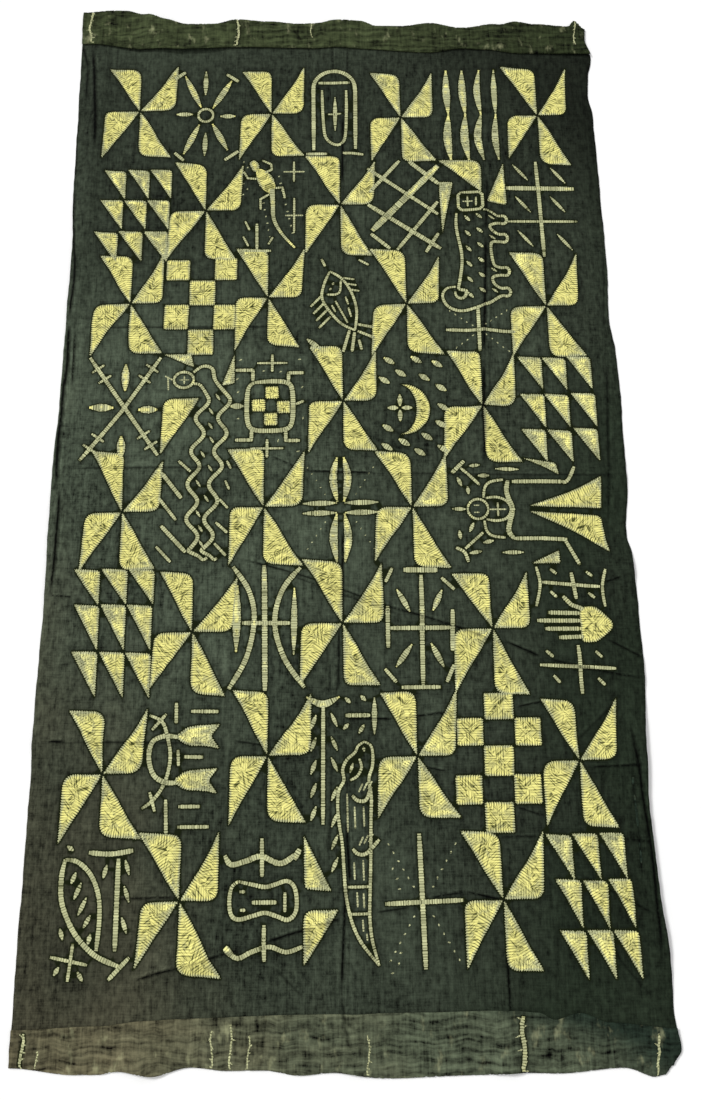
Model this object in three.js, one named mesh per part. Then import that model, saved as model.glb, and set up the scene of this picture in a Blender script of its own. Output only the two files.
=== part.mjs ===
// A tie-dye cloth, laid out flat: one length of thin cotton with a wide turned hem at each end.
// Millimetres, +Z up, X across the cloth, Y along its length, face up. It lies on z = 0.
import * as THREE from "three";

// Driving sizes
const WIDTH = 1190;        // selvedge to selvedge
const LENGTH = 2240;       // fold to fold of the two end hems
const CLOTH = 1.5;         // thickness of one layer
const LAYER_GAP = 0.6;     // air between a hem and the cloth under it
const COLUMNS = 30;        // steps of the surface across
const ROWS = 52;           // steps between the inner edges of the hems
const HEM_ROWS = 2;        // steps across each hem
const FOLD_STEPS = 4;      // steps round the turn of a hem
const DYED_GREEN = 0x343b30;

// How far each edge strays outward from its straight line, from one end to the other.
// The near end is at -Y, the far end at +Y.
const LEFT_EDGE = [
  { at: -1120, out: 3 }, { at: -960, out: 4 }, { at: -654, out: 2 }, { at: -460, out: 4 },
  { at: -268, out: 0 }, { at: 0, out: 3 }, { at: 184, out: -2 }, { at: 466, out: -5 },
  { at: 545, out: -5 }, { at: 674, out: 2 }, { at: 950, out: 4 }, { at: 1120, out: 7 },
];
const RIGHT_EDGE = [
  { at: -1120, out: -11 }, { at: -1094, out: 6 }, { at: -1026, out: -1 }, { at: -970, out: 0 },
  { at: -767, out: -12 }, { at: -680, out: -15 }, { at: -585, out: -12 }, { at: -428, out: -1 },
  { at: -300, out: -1 }, { at: -188, out: -5 }, { at: -148, out: -12 }, { at: -28, out: -2 },
  { at: 190, out: 0 }, { at: 260, out: -2 }, { at: 340, out: -11 }, { at: 441, out: -5 },
  { at: 846, out: -7 }, { at: 900, out: -15 }, { at: 950, out: -11 }, { at: 1008, out: 0 },
  { at: 1060, out: -12 }, { at: 1120, out: -6 },
];
const NEAR_EDGE = [
  { at: -595, out: -9 }, { at: -480, out: 3 }, { at: -440, out: 3 }, { at: -401, out: -2 },
  { at: -340, out: 6 }, { at: -275, out: -7 }, { at: -210, out: -1 }, { at: -146, out: -1 },
  { at: -80, out: 8 }, { at: -22, out: 4 }, { at: 74, out: 14 }, { at: 243, out: 10 },
  { at: 310, out: 7 }, { at: 380, out: 9 }, { at: 497, out: 1 }, { at: 555, out: 16 },
  { at: 575, out: 13 }, { at: 595, out: -2 },
];
const FAR_EDGE = [
  { at: -595, out: 27 }, { at: -530, out: 32 }, { at: -500, out: 31 }, { at: -450, out: 17 },
  { at: -404, out: 1 }, { at: -350, out: -8 }, { at: -292, out: -8 }, { at: -240, out: 4 },
  { at: -157, out: -3 }, { at: -90, out: -10 }, { at: -40, out: -8 }, { at: -12, out: -4 },
  { at: 55, out: -3 }, { at: 95, out: -18 }, { at: 150, out: -19 }, { at: 220, out: -11 },
  { at: 292, out: -25 }, { at: 380, out: -22 }, { at: 421, out: -9 }, { at: 470, out: -17 },
  { at: 550, out: -24 }, { at: 565, out: -8 }, { at: 595, out: -33 },
];

// How far in from the end's straight line each hem's free edge reaches, measured at stations
// across the cloth, and how far that edge stands up from the cloth there.
const NEAR_HEM = [
  { at: -595, reach: 69, gape: 1 }, { at: -440, reach: 74, gape: 0 }, { at: -351, reach: 84, gape: 1 },
  { at: -62, reach: 90, gape: 3 }, { at: 154, reach: 91, gape: 1 }, { at: 301, reach: 94, gape: 4 },
  { at: 349, reach: 90, gape: 7 }, { at: 377, reach: 78, gape: 6 }, { at: 423, reach: 88, gape: 4 },
  { at: 479, reach: 71, gape: 1 }, { at: 595, reach: 61, gape: 2 },
];
const FAR_HEM = [
  { at: -595, reach: 62, gape: 1 }, { at: -410, reach: 86, gape: 5 }, { at: -330, reach: 82, gape: 7 },
  { at: -240, reach: 75, gape: 2 }, { at: 28, reach: 81, gape: 1 }, { at: 218, reach: 93, gape: 0 },
  { at: 292, reach: 84, gape: 2 }, { at: 395, reach: 98, gape: 0 }, { at: 595, reach: 103, gape: 3 },
];

// Soft folds that stand up from the floor. Each runs from one place to the other, bowing
// sideways by bow in between, and is high at its middle and spread to each side of its line.
const FOLDS = [
  { name: "length fold", x0: 334, y0: 700, x1: 296, y1: -90, bow: 0, spread: 46, high: 7 },
  { name: "upper cross fold", x0: -640, y0: 326, x1: -40, y1: 322, bow: 0, spread: 44, high: 5 },
  { name: "middle cross fold", x0: -640, y0: 6, x1: 640, y1: -18, bow: -6, spread: 46, high: 6 },
  { name: "lower cross fold", x0: -640, y0: -546, x1: -130, y1: -552, bow: 0, spread: 44, high: 5 },
  { name: "checks fold", x0: 110, y0: -500, x1: 430, y1: -492, bow: 0, spread: 42, high: 4 },
  { name: "right cross fold", x0: 110, y0: -590, x1: 640, y1: -604, bow: 12, spread: 44, high: 5 },
  { name: "long slant", x0: -260, y0: -178, x1: 640, y1: -448, bow: 10, spread: 54, high: 9 },
  { name: "near left slant", x0: -440, y0: -984, x1: 40, y1: -862, bow: 0, spread: 42, high: 8 },
  { name: "right border", x0: 566, y0: -440, x1: 578, y1: -1020, bow: 20, spread: 40, high: 8 },
  { name: "left border", x0: -552, y0: 1090, x1: -582, y1: 240, bow: 6, spread: 40, high: 6 },
  { name: "left border low", x0: -582, y0: -20, x1: -584, y1: -320, bow: 0, spread: 40, high: 5 },
  { name: "near middle", x0: 8, y0: -600, x1: 20, y1: -1180, bow: 8, spread: 44, high: 6 },
  { name: "near right", x0: 300, y0: -860, x1: 292, y1: -1180, bow: 0, spread: 44, high: 6 },
  { name: "far middle", x0: 24, y0: 960, x1: 26, y1: 690, bow: 0, spread: 42, high: 5 },
  { name: "right corner slant", x0: 400, y0: -780, x1: 640, y1: -895, bow: 0, spread: 44, high: 6 },
  { name: "near fold", x0: 130, y0: -815, x1: 330, y1: -843, bow: 0, spread: 42, high: 4 },
  { name: "right notch", x0: 500, y0: -262, x1: 640, y1: -190, bow: 0, spread: 42, high: 5 },
  { name: "far left wave", x0: -430, y0: 1200, x1: -400, y1: 930, bow: 0, spread: 60, high: 8 },
  { name: "far middle wave", x0: 10, y0: 1200, x1: -6, y1: 980, bow: 0, spread: 56, high: 5 },
  { name: "far right wave", x0: 360, y0: 1200, x1: 372, y1: 960, bow: 0, spread: 60, high: 7 },
  { name: "near left wave", x0: -372, y0: -1200, x1: -350, y1: -1000, bow: 0, spread: 56, high: 7 },
];

// The named value of a table's rows at a station, straight between neighbouring rows.
function read(table, station, value) {
  const next = table.findIndex((row) => row.at >= station);
  if (next === 0) return table[0][value];
  if (next < 0) return table[table.length - 1][value];
  const before = table[next - 1];
  const share = (station - before.at) / (table[next].at - before.at);
  return THREE.MathUtils.lerp(before[value], table[next][value], share);
}

// The height of one fold over a place: a rounded ridge that dies out at its two ends.
function foldHeight(fold, x, y) {
  const alongX = fold.x1 - fold.x0;
  const alongY = fold.y1 - fold.y0;
  const run = Math.hypot(alongX, alongY);
  const along = ((x - fold.x0) * alongX + (y - fold.y0) * alongY) / (run * run);
  if (along <= 0 || along >= 1) return 0;
  const side = ((y - fold.y0) * alongX - (x - fold.x0) * alongY) / run;
  const offLine = Math.abs(side - fold.bow * Math.sin(Math.PI * along));
  if (offLine >= fold.spread) return 0;
  const fade = Math.min(1, 6 * along, 6 * (1 - along));
  return fold.high * fade * Math.cos((Math.PI / 2) * (offLine / fold.spread)) ** 2;
}

// How far the cloth's underside is off the floor: the highest fold over the place.
function lift(x, y) {
  return Math.max(...FOLDS.map((fold) => foldHeight(fold, x, y)));
}

// A place on the laid cloth: across runs 0 to 1 from the left selvedge, y0 is the place along
// the length before the selvedges' stray is added.
function placeAcross(across, y) {
  const left = -WIDTH / 2 - read(LEFT_EDGE, y, "out");
  const right = WIDTH / 2 + read(RIGHT_EDGE, y, "out");
  return THREE.MathUtils.lerp(left, right, across);
}

// The rows of the cloth's middle surface, from the free edge of the near hem, round its turn,
// along the cloth, round the far turn and back to the free edge of the far hem. Each row gives
// a point and the direction of the cloth's back there, for one place across.
function rowsAt(across) {
  const station = (across - 0.5) * WIDTH;
  const nearOut = read(NEAR_EDGE, station, "out");
  const farOut = read(FAR_EDGE, station, "out");
  const nearEnd = -LENGTH / 2 - nearOut;
  const farEnd = LENGTH / 2 + farOut;
  const nearHem = read(NEAR_HEM, station, "reach") + nearOut;
  const farHem = read(FAR_HEM, station, "reach") + farOut;
  const layer = CLOTH + LAYER_GAP;
  const onFloor = (y) => lift(placeAcross(across, y), y) + CLOTH / 2;
  const rows = [];

  const hem = (end, wide, inward, gape) => {
    const rises = [];
    for (let k = 0; k <= HEM_ROWS; k++) {
      const share = k / HEM_ROWS;
      const y = end + inward * wide * (1 - share);
      rises.push({ y, z: onFloor(y) + layer + gape * (1 - share) ** 2, backY: 0, backZ: 1 });
    }
    return rises;
  };
  const turn = (end, inward) => {
    const steps = [];
    for (let k = 1; k < FOLD_STEPS; k++) {
      const angle = (Math.PI * k) / FOLD_STEPS;
      const backY = -inward * Math.sin(angle);
      const backZ = Math.cos(angle);
      const z = onFloor(end) + (layer / 2) * (1 + backZ);
      steps.push({ y: end + backY * (layer / 2), z, backY, backZ });
    }
    return steps;
  };
  const laid = (y) => ({ y, z: onFloor(y), backY: 0, backZ: -1 });

  rows.push(...hem(nearEnd, nearHem, 1, read(NEAR_HEM, station, "gape")));
  rows.push(...turn(nearEnd, 1));
  for (let k = 0; k < HEM_ROWS; k++) rows.push(laid(nearEnd + (nearHem * k) / HEM_ROWS));
  for (let k = 0; k <= ROWS; k++) {
    rows.push(laid(THREE.MathUtils.lerp(nearEnd + nearHem, farEnd - farHem, k / ROWS)));
  }
  for (let k = 1; k <= HEM_ROWS; k++) {
    rows.push(laid(farEnd - farHem + (farHem * k) / HEM_ROWS));
  }
  rows.push(...turn(farEnd, -1).reverse());
  rows.push(...hem(farEnd, farHem, -1, read(FAR_HEM, station, "gape")).reverse());
  return rows;
}

// The closed skin of the cloth: its back and its face half a thickness to each side of the
// middle surface, and a wall along each selvedge and each hem's free edge.
function clothGeometry() {
  const back = [];
  const face = [];
  const positions = [];
  const triangles = [];
  const point = (row, across, side) => {
    const y = row.y + (side * row.backY * CLOTH) / 2;
    positions.push(placeAcross(across, row.y), y, row.z + (side * row.backZ * CLOTH) / 2);
    return positions.length / 3 - 1;
  };
  for (let i = 0; i <= COLUMNS; i++) {
    const rows = rowsAt(i / COLUMNS);
    back.push(rows.map((row) => point(row, i / COLUMNS, 1)));
    face.push(rows.map((row) => point(row, i / COLUMNS, -1)));
  }
  const last = back[0].length - 1;
  const turned = HEM_ROWS + FOLD_STEPS / 2;
  const quad = (a, b, c, d, otherWay) => {
    if (otherWay) triangles.push(a, b, d, b, c, d);
    else triangles.push(a, b, c, a, c, d);
  };
  for (let i = 0; i < COLUMNS; i++) {
    for (let j = 0; j < last; j++) {
      const inHem = j < turned || j >= last - turned;  // split as the cloth under it is
      quad(back[i][j], back[i][j + 1], back[i + 1][j + 1], back[i + 1][j], inHem);
      quad(face[i][j], face[i + 1][j], face[i + 1][j + 1], face[i][j + 1], inHem);
    }
    quad(face[i][0], back[i][0], back[i + 1][0], face[i + 1][0], false);
    quad(back[i][last], face[i][last], face[i + 1][last], back[i + 1][last], false);
  }
  for (let j = 0; j < last; j++) {
    quad(back[0][j], face[0][j], face[0][j + 1], back[0][j + 1], false);
    quad(face[COLUMNS][j], back[COLUMNS][j], back[COLUMNS][j + 1], face[COLUMNS][j + 1], false);
  }
  const geometry = new THREE.BufferGeometry();
  geometry.setAttribute("position", new THREE.Float32BufferAttribute(positions, 3));
  geometry.setIndex(triangles);
  geometry.computeBoundingBox();
  const box = geometry.boundingBox;
  geometry.translate(-(box.min.x + box.max.x) / 2, -(box.min.y + box.max.y) / 2, -box.min.z);
  geometry.computeVertexNormals();
  return geometry;
}

const dyedCotton = new THREE.MeshStandardMaterial({
  name: "dyed_cotton",
  color: DYED_GREEN,
  roughness: 0.9,
  metalness: 0,
});

const cloth = new THREE.Mesh(clothGeometry(), dyedCotton);
cloth.name = "cloth";

const group = new THREE.Group();
group.add(cloth);

export default group;
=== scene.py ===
"""A tie-dye cloth laid out flat: thin dark cotton, stitched and tied before the dye bath, so that
its pale motifs were kept from the dye, with a wide hem turned onto the face at each end."""
import math
import random

import bpy
import numpy as np
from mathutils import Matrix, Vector
from mathutils.geometry import delaunay_2d_cdt
from mathutils.kdtree import KDTree


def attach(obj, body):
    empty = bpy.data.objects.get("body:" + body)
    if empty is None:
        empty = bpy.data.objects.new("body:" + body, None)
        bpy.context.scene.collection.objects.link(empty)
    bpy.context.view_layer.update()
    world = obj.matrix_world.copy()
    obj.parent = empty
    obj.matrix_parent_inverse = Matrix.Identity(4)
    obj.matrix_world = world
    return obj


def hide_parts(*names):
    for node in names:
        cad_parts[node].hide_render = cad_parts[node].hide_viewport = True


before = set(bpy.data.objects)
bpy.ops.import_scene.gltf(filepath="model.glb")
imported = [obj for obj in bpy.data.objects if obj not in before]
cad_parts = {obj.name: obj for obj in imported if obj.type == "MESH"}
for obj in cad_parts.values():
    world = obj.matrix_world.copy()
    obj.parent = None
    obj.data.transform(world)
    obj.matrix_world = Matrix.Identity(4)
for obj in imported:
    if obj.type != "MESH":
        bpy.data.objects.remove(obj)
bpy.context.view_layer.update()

# The length of cotton: one loom width, its two selvedges left as woven. It is marked out here
# flat, in millimetres, X across and Y along, with the middle of its nominal rectangle at zero.
MM = 0.001
WIDTH, LENGTH = 1190, 2240
CLOTH = 1.5                 # thickness of one layer
LAYER_GAP = 0.6             # air between a hem and the cloth under it
LAYER = CLOTH + LAYER_GAP
TURN = math.pi * LAYER / 2  # length of cloth in the turn of a hem

# Each edge strays outward from its straight line: (place along the edge, stray).
LEFT_EDGE = (
    (-1120, 3), (-960, 4), (-654, 2), (-460, 4), (-268, 0), (0, 3), (184, -2), (466, -5), (545, -5),
    (674, 2), (950, 4), (1120, 7),
)
RIGHT_EDGE = (
    (-1120, -11), (-1094, 6), (-1026, -1), (-970, 0), (-767, -12), (-680, -15), (-585, -12),
    (-428, -1), (-300, -1), (-188, -5), (-148, -12), (-28, -2), (190, 0), (260, -2), (340, -11),
    (441, -5), (846, -7), (900, -15), (950, -11), (1008, 0), (1060, -12), (1120, -6),
)
NEAR_EDGE = (
    (-595, -9), (-480, 3), (-440, 3), (-401, -2), (-340, 6), (-275, -7), (-210, -1), (-146, -1),
    (-80, 8), (-22, 4), (74, 14), (243, 10), (310, 7), (380, 9), (497, 1), (555, 16), (575, 13),
    (595, -2),
)
FAR_EDGE = (
    (-595, 27), (-530, 32), (-500, 31), (-450, 17), (-404, 1), (-350, -8), (-292, -8), (-240, 4),
    (-157, -3), (-90, -10), (-40, -8), (-12, -4), (55, -3), (95, -18), (150, -19), (220, -11),
    (292, -25), (380, -22), (421, -9), (470, -17), (550, -24), (565, -8), (595, -33),
)

# The hems: (place across, how far in from the end's straight line the free edge reaches, how
# far it stands up there).
NEAR_HEM = (
    (-595, 69, 1), (-440, 74, 0), (-351, 84, 1), (-62, 90, 3), (154, 91, 1), (301, 94, 4),
    (349, 90, 7), (377, 78, 6), (423, 88, 4), (479, 71, 1), (595, 61, 2),
)
FAR_HEM = (
    (-595, 62, 1), (-410, 86, 5), (-330, 82, 7), (-240, 75, 2), (28, 81, 1), (218, 93, 0),
    (292, 84, 2), (395, 98, 0), (595, 103, 3),
)

# The broad folds that stand up from the floor, from one place to the other, bowing sideways in
# between: (x0, y0, x1, y1, bow, spread to each side, height).
FOLDS = (
    (334, 700, 296, -90, 0, 46, 7),
    (-640, 326, -40, 322, 0, 44, 5),
    (-640, 6, 640, -18, -6, 46, 6),
    (-640, -546, -130, -552, 0, 44, 5),
    (110, -500, 430, -492, 0, 42, 4),
    (110, -590, 640, -604, 12, 44, 5),
    (-260, -178, 640, -448, 10, 54, 9),
    (-440, -984, 40, -862, 0, 42, 8),
    (566, -440, 578, -1020, 20, 40, 8),
    (-552, 1090, -582, 240, 6, 40, 6),
    (-582, -20, -584, -320, 0, 40, 5),
    (8, -600, 20, -1180, 8, 44, 6),
    (300, -860, 292, -1180, 0, 44, 6),
    (24, 960, 26, 690, 0, 42, 5),
    (400, -780, 640, -895, 0, 44, 6),
    (130, -815, 330, -843, 0, 42, 4),
    (500, -262, 640, -190, 0, 42, 5),
    (-430, 1200, -400, 930, 0, 60, 8),
    (10, 1200, -6, 980, 0, 56, 5),
    (360, 1200, 372, 960, 0, 60, 7),
    (-372, -1200, -350, -1000, 0, 56, 7),
)

# The sharp creases pressed into the cloth by folding, in the same columns. A height below zero
# is a trough. They show on whichever side of the cloth is up, fainter on the hems.
CREASES = (
    (-571, 1050, -552, 773, 3, 8, 2.6),
    (-597, 1059, -579, 989, 2, 6, 1.6),
    (-579, 989, -579, 907, 0, 6, 1.4),
    (-600, 880, -594, 669, 2, 6, -1.4),
    (-591, 669, -586, 488, -5, 7, 2),
    (-586, 517, -588, 347, 4, 7, 2.2),
    (-588, 332, -586, 190, 3, 8, 2.8),
    (-587, 230, -584, -40, -3, 8, 2.8),
    (-572, 320, -570, 190, 0, 6, 1.8),
    (-577, -30, -583, -262, 3, 7, 2.4),
    (11, 855, 9, 676, 0, 6, 2.4),
    (-12, 1044, -10, 978, 0, 5, -1.4),
    (24, 1040, 22, 960, 0, 5, 1.2),
    (9, 676, 8, 318, 2, 6, 0.9),
    (3, -119, 2, -295, 0, 6, 1.8),
    (-5, -325, -8, -457, 0, 6, 1.6),
    (-23, -398, -24, -462, 0, 5, -1.2),
    (337, 698, 326, 545, 0, 7, 1.6),
    (326, 545, 308, 244, 0, 8, 2.6),
    (308, 244, 297, -6, 0, 8, 2),
    (345, 640, 306, 20, 2, 6, -0.9),
    (573, 265, 549, -145, 0, 7, 1.3),
    (589, 555, 577, 288, 2, 6, 1),
    (559, -507, 575, -969, 19, 8, 2),
    (560, -600, 562, -810, 4, 6, -1.2),
    (-563, 326, -72, 323, 0, 5, -1.3),
    (-590, 8, -147, 6, 0, 5, -1.3),
    (-147, 32, -74, -4, 0, 5, 1.6),
    (-74, -4, 74, -10, 0, 5, 2.5),
    (74, -10, 596, -18, -2, 5, 1.1),
    (-585, -260, -537, -263, 0, 4, 1.8),
    (-565, -545, -534, -547, 0, 5, 2.8),
    (-534, -547, -230, -552, 0, 5, 1.4),
    (-208, -548, -146, -558, 0, 4, 1.6),
    (-146, -558, -72, -585, 0, 4, 1.5),
    (5, -508, 102, -509, 0, 5, 2.5),
    (102, -509, 223, -496, 0, 5, 1.8),
    (337, -489, 396, -478, 0, 4, 1.8),
    (148, -599, 200, -609, 0, 4, 1.7),
    (465, -604, 592, -600, 0, 5, 1.6),
    (330, -676, 377, -691, 0, 4, 1.5),
    (295, -730, 371, -729, 0, 4, 1.4),
    (449, -557, 538, -478, 0, 6, 0.9),
    (-215, -186, 80, -286, 6, 5, 1.7),
    (60, -280, 320, -366, 4, 5, 1.8),
    (324, -362, 391, -392, 0, 5, 2.3),
    (391, -392, 592, -436, -4, 5, 1.7),
    (-130, -214, 130, -312, 0, 5, -1.4),
    (527, -245, 566, -233, 0, 4, 1.8),
    (524, -358, 596, -397, 0, 5, 1.6),
    (-381, -971, -300, -950, 2, 5, 2.5),
    (-300, -950, -182, -917, 0, 5, 1.8),
    (-145, -909, -50, -883, 2, 5, 2.8),
    (-50, -883, -7, -869, 0, 5, 2.5),
    (-132, -948, -71, -1007, 0, 5, 0.9),
    (58, -860, 123, -852, 0, 4, 1.6),
    (-424, -832, -309, -830, 0, 4, 1.7),
    (160, -835, 226, -825, 0, 4, 1.8),
    (226, -825, 294, -840, 0, 4, 2.3),
    (8, -621, 6, -700, 0, 6, 1.2),
    (6, -696, 12, -812, 0, 7, 2.6),
    (5, -795, -6, -1000, 0, 7, 2),
    (-6, -1000, 11, -1106, 0, 6, 1.4),
    (-20, -560, -26, -760, 0, 6, -0.9),
    (297, -927, 298, -1036, 0, 6, 2),
    (298, -1036, 302, -1101, 0, 5, 1.4),
    (434, -795, 586, -872, 0, 5, 1.4),
    (523, -734, 590, -741, 0, 4, 1.4),
    (330, -1046, 372, -1120, 4, 6, 1.2),
    (470, -890, 560, -1010, -6, 6, 1),
    (-106, 1100, -76, 1052, 0, 5, -1.4),
    (-200, -1030, -196, -1110, 0, 5, 1),
)


def along(table, station, column=1):
    """The value in a column of an edge's or a hem's table at places along it, flowing softly
    from one row to the next."""
    rows = np.array(table, float)
    place = np.interp(station, rows[:, 0], np.arange(len(rows)))
    row = np.clip(place.astype(int), 0, len(rows) - 2)
    share = place - row
    share = share * share * (3 - 2 * share)
    return rows[row, column] * (1 - share) + rows[row + 1, column] * share


FOLD_FADE = 6               # a fold dies out over the last sixth of its line at each end


def beside(x, y, x0, y0, x1, y1, bow):
    """How far to the side of a fold's bowed line each place is, and how much of the fold's
    height is left there, 1 along it and 0 past its ends."""
    across, up = x1 - x0, y1 - y0
    run = math.hypot(across, up)
    share = ((x - x0) * across + (y - y0) * up) / run**2
    side = ((y - y0) * across - (x - x0) * up) / run
    left = np.clip(np.minimum(FOLD_FADE * share, FOLD_FADE * (1 - share)), 0, 1)
    return side - bow * np.sin(math.pi * share), left * ((share > 0) & (share < 1))


def ridges(x, y, table):
    """The height over each place of every fold in a table, a row for each fold."""
    heights = np.zeros((len(table), len(x)))
    for height, (*line, spread, high) in zip(heights, table):
        off, left = beside(x, y, *line)
        crest = np.cos(np.clip(np.abs(off) / spread, 0, 1) * math.pi / 2) ** 2
        height[:] = high * left * crest
    return heights


CREASE_SHADE_REACH = 0.42           # how far a crease's painted shade line reaches, as a share of its spread
CREASE_HIGHLIGHT_OFF = 1.0              # how far beside it the painted highlight line runs
CREASE_HIGHLIGHT_REACH = 0.4


def painted_crease_light_at(x, y):
    """The painted light of the creases at each place: below zero for painted shade along each
    crease's line, above zero for a painted highlight beside it."""
    mark = np.zeros(len(x))
    for *line, spread, high in CREASES:
        off, left = beside(x, y, *line)
        off = off / spread
        dark = np.exp(-((off / CREASE_SHADE_REACH) ** 2))
        pale = np.exp(-(((off - CREASE_HIGHLIGHT_OFF) / CREASE_HIGHLIGHT_REACH) ** 2))
        # painted shade along each crease's line, and a painted highlight beside it
        mark += left * abs(high) * (0.25 * pale - 0.9 * dark)
    return np.clip(mark, -1.5, 0.7)


STRAY_BAND = 125            # width of the strip at each selvedge that strays with it


def selvedge_place(x, y):
    """The real place across of cloth marked at x: the selvedges' stray dies out inwards."""
    inner = WIDTH / 2 - STRAY_BAND
    out_left = np.clip((-x - inner) / STRAY_BAND, 0, 1) ** 2
    out_right = np.clip((x - inner) / STRAY_BAND, 0, 1) ** 2
    waver = (np.sin(0.047 * y + np.sign(x)) * np.sin(0.013 * y) * 0.8
             + 0.35 * np.sin(0.19 * y) * np.cos(0.023 * y))
    left = along(LEFT_EDGE, y) + waver
    return x - left * out_left + (along(RIGHT_EDGE, y) + waver) * out_right


def end_places(x):
    """Where the near and the far end turn at places across, and how wide each hem is there."""
    near_out, far_out = along(NEAR_EDGE, x), along(FAR_EDGE, x)
    return (-LENGTH / 2 - near_out, LENGTH / 2 + far_out,
            along(NEAR_HEM, x) + near_out, along(FAR_HEM, x) + far_out)


def hem_run(x, v):
    """How far past its end cloth marked at (x, v) is, and where along the floor it then lies."""
    near_end, far_end, _, _ = end_places(x)
    beyond = np.maximum(v - far_end, near_end - v)
    inward = np.where(v > 0, -1.0, 1.0) * np.clip(beyond - TURN, 0, None)
    return beyond, np.where(beyond > 0, np.where(v > 0, far_end, near_end) + inward, v)


def laid(x, v, side):
    """The place in the room of cloth marked at (x, v): side is 1 for its back, -1 for its face.
    Past each end v runs on round the turn of the hem and back over the cloth."""
    _, _, near_hem, far_hem = end_places(x)
    beyond, floor_y = hem_run(x, v)
    outward = np.where(v > 0, 1.0, -1.0)
    gape = np.where(v > 0, along(FAR_HEM, x, 2), along(NEAR_HEM, x, 2))
    angle = np.clip(beyond, 0, TURN) / (LAYER / 2)
    risen = np.clip(beyond - TURN, 0, None) / np.where(v > 0, far_hem, near_hem)
    place = selvedge_place(x, floor_y)
    z = ridges(place, floor_y, FOLDS).max(0) + CLOTH / 2
    z += LAYER / 2 * (1 - np.cos(angle)) + gape * risen**2
    sharp = ridges(x, floor_y, CREASES)
    if side < 0:
        z += np.maximum((sharp.max(0) + sharp.min(0)) * (beyond <= 0), -CLOTH * 0.7)
    else:
        z += (sharp.max(0) + sharp.min(0)) * 0.6 * (beyond > TURN)
    y = floor_y + outward * np.sin(angle) * (LAYER / 2 + side * CLOTH / 2)
    return np.stack([place, y, z - side * np.cos(angle) * CLOTH / 2], 1)


# The stitching: before the bath each motif was outlined with raffia stitches, then drawn up and
# tied. What the stitches gripped stayed pale, with a toothed edge and short dyed dashes. Seven
# columns and eight rows of motifs are marked on the cloth, A at the far end and H at the near.
COLUMN_STEP = 152
ROWS = {"A": 860, "B": 618, "C": 382, "D": 145, "E": -83, "F": -331, "G": -588, "H": -838}
STITCH = 4.8                # one stitch and the gap after it
TOOTH = 1.0                 # how far the toothed edge strays
BAR = 11                    # width a bar is marked
DRAWN_IN = 0.78             # the stitches draw a bar in to this share of its width
hand = random.Random(41)    # the stitcher's hand, the same unevenness each time
stitched = []               # every stitched shape on the face, in the order that it was made


def stepped(points, step, closed=False):
    """Points every step along a line through the given points, the corners kept."""
    line = []
    ring = list(points) + ([points[0]] if closed else [])
    for (x0, y0), (x1, y1) in zip(ring, ring[1:]):
        count = max(1, round(math.hypot(x1 - x0, y1 - y0) / step))
        line += [(x0 + (x1 - x0) * k / count, y0 + (y1 - y0) * k / count) for k in range(count)]
    return line if closed else line + [tuple(points[-1])]


def flowing(points, parts=8):
    """A smooth line through the points."""
    p = [points[0], *points, points[-1]]
    line = []
    for a, b, c, d in zip(p, p[1:], p[2:], p[3:]):
        for k in range(parts):
            t = k / parts
            line.append(tuple(
                0.5 * (2 * b[i] + (c[i] - a[i]) * t + (2 * a[i] - 5 * b[i] + 4 * c[i] - d[i]) * t**2
                       + (3 * b[i] - a[i] - 3 * c[i] + d[i]) * t**3)
                for i in (0, 1)))
    return line + [tuple(points[-1])]


def turned(cx, cy, rx, ry, start, end, parts=16):
    """Points on an ellipse between two angles in degrees."""
    angles = [math.radians(start + (end - start) * k / parts) for k in range(parts + 1)]
    return [(cx + rx * math.cos(a), cy + ry * math.sin(a)) for a in angles]


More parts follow.
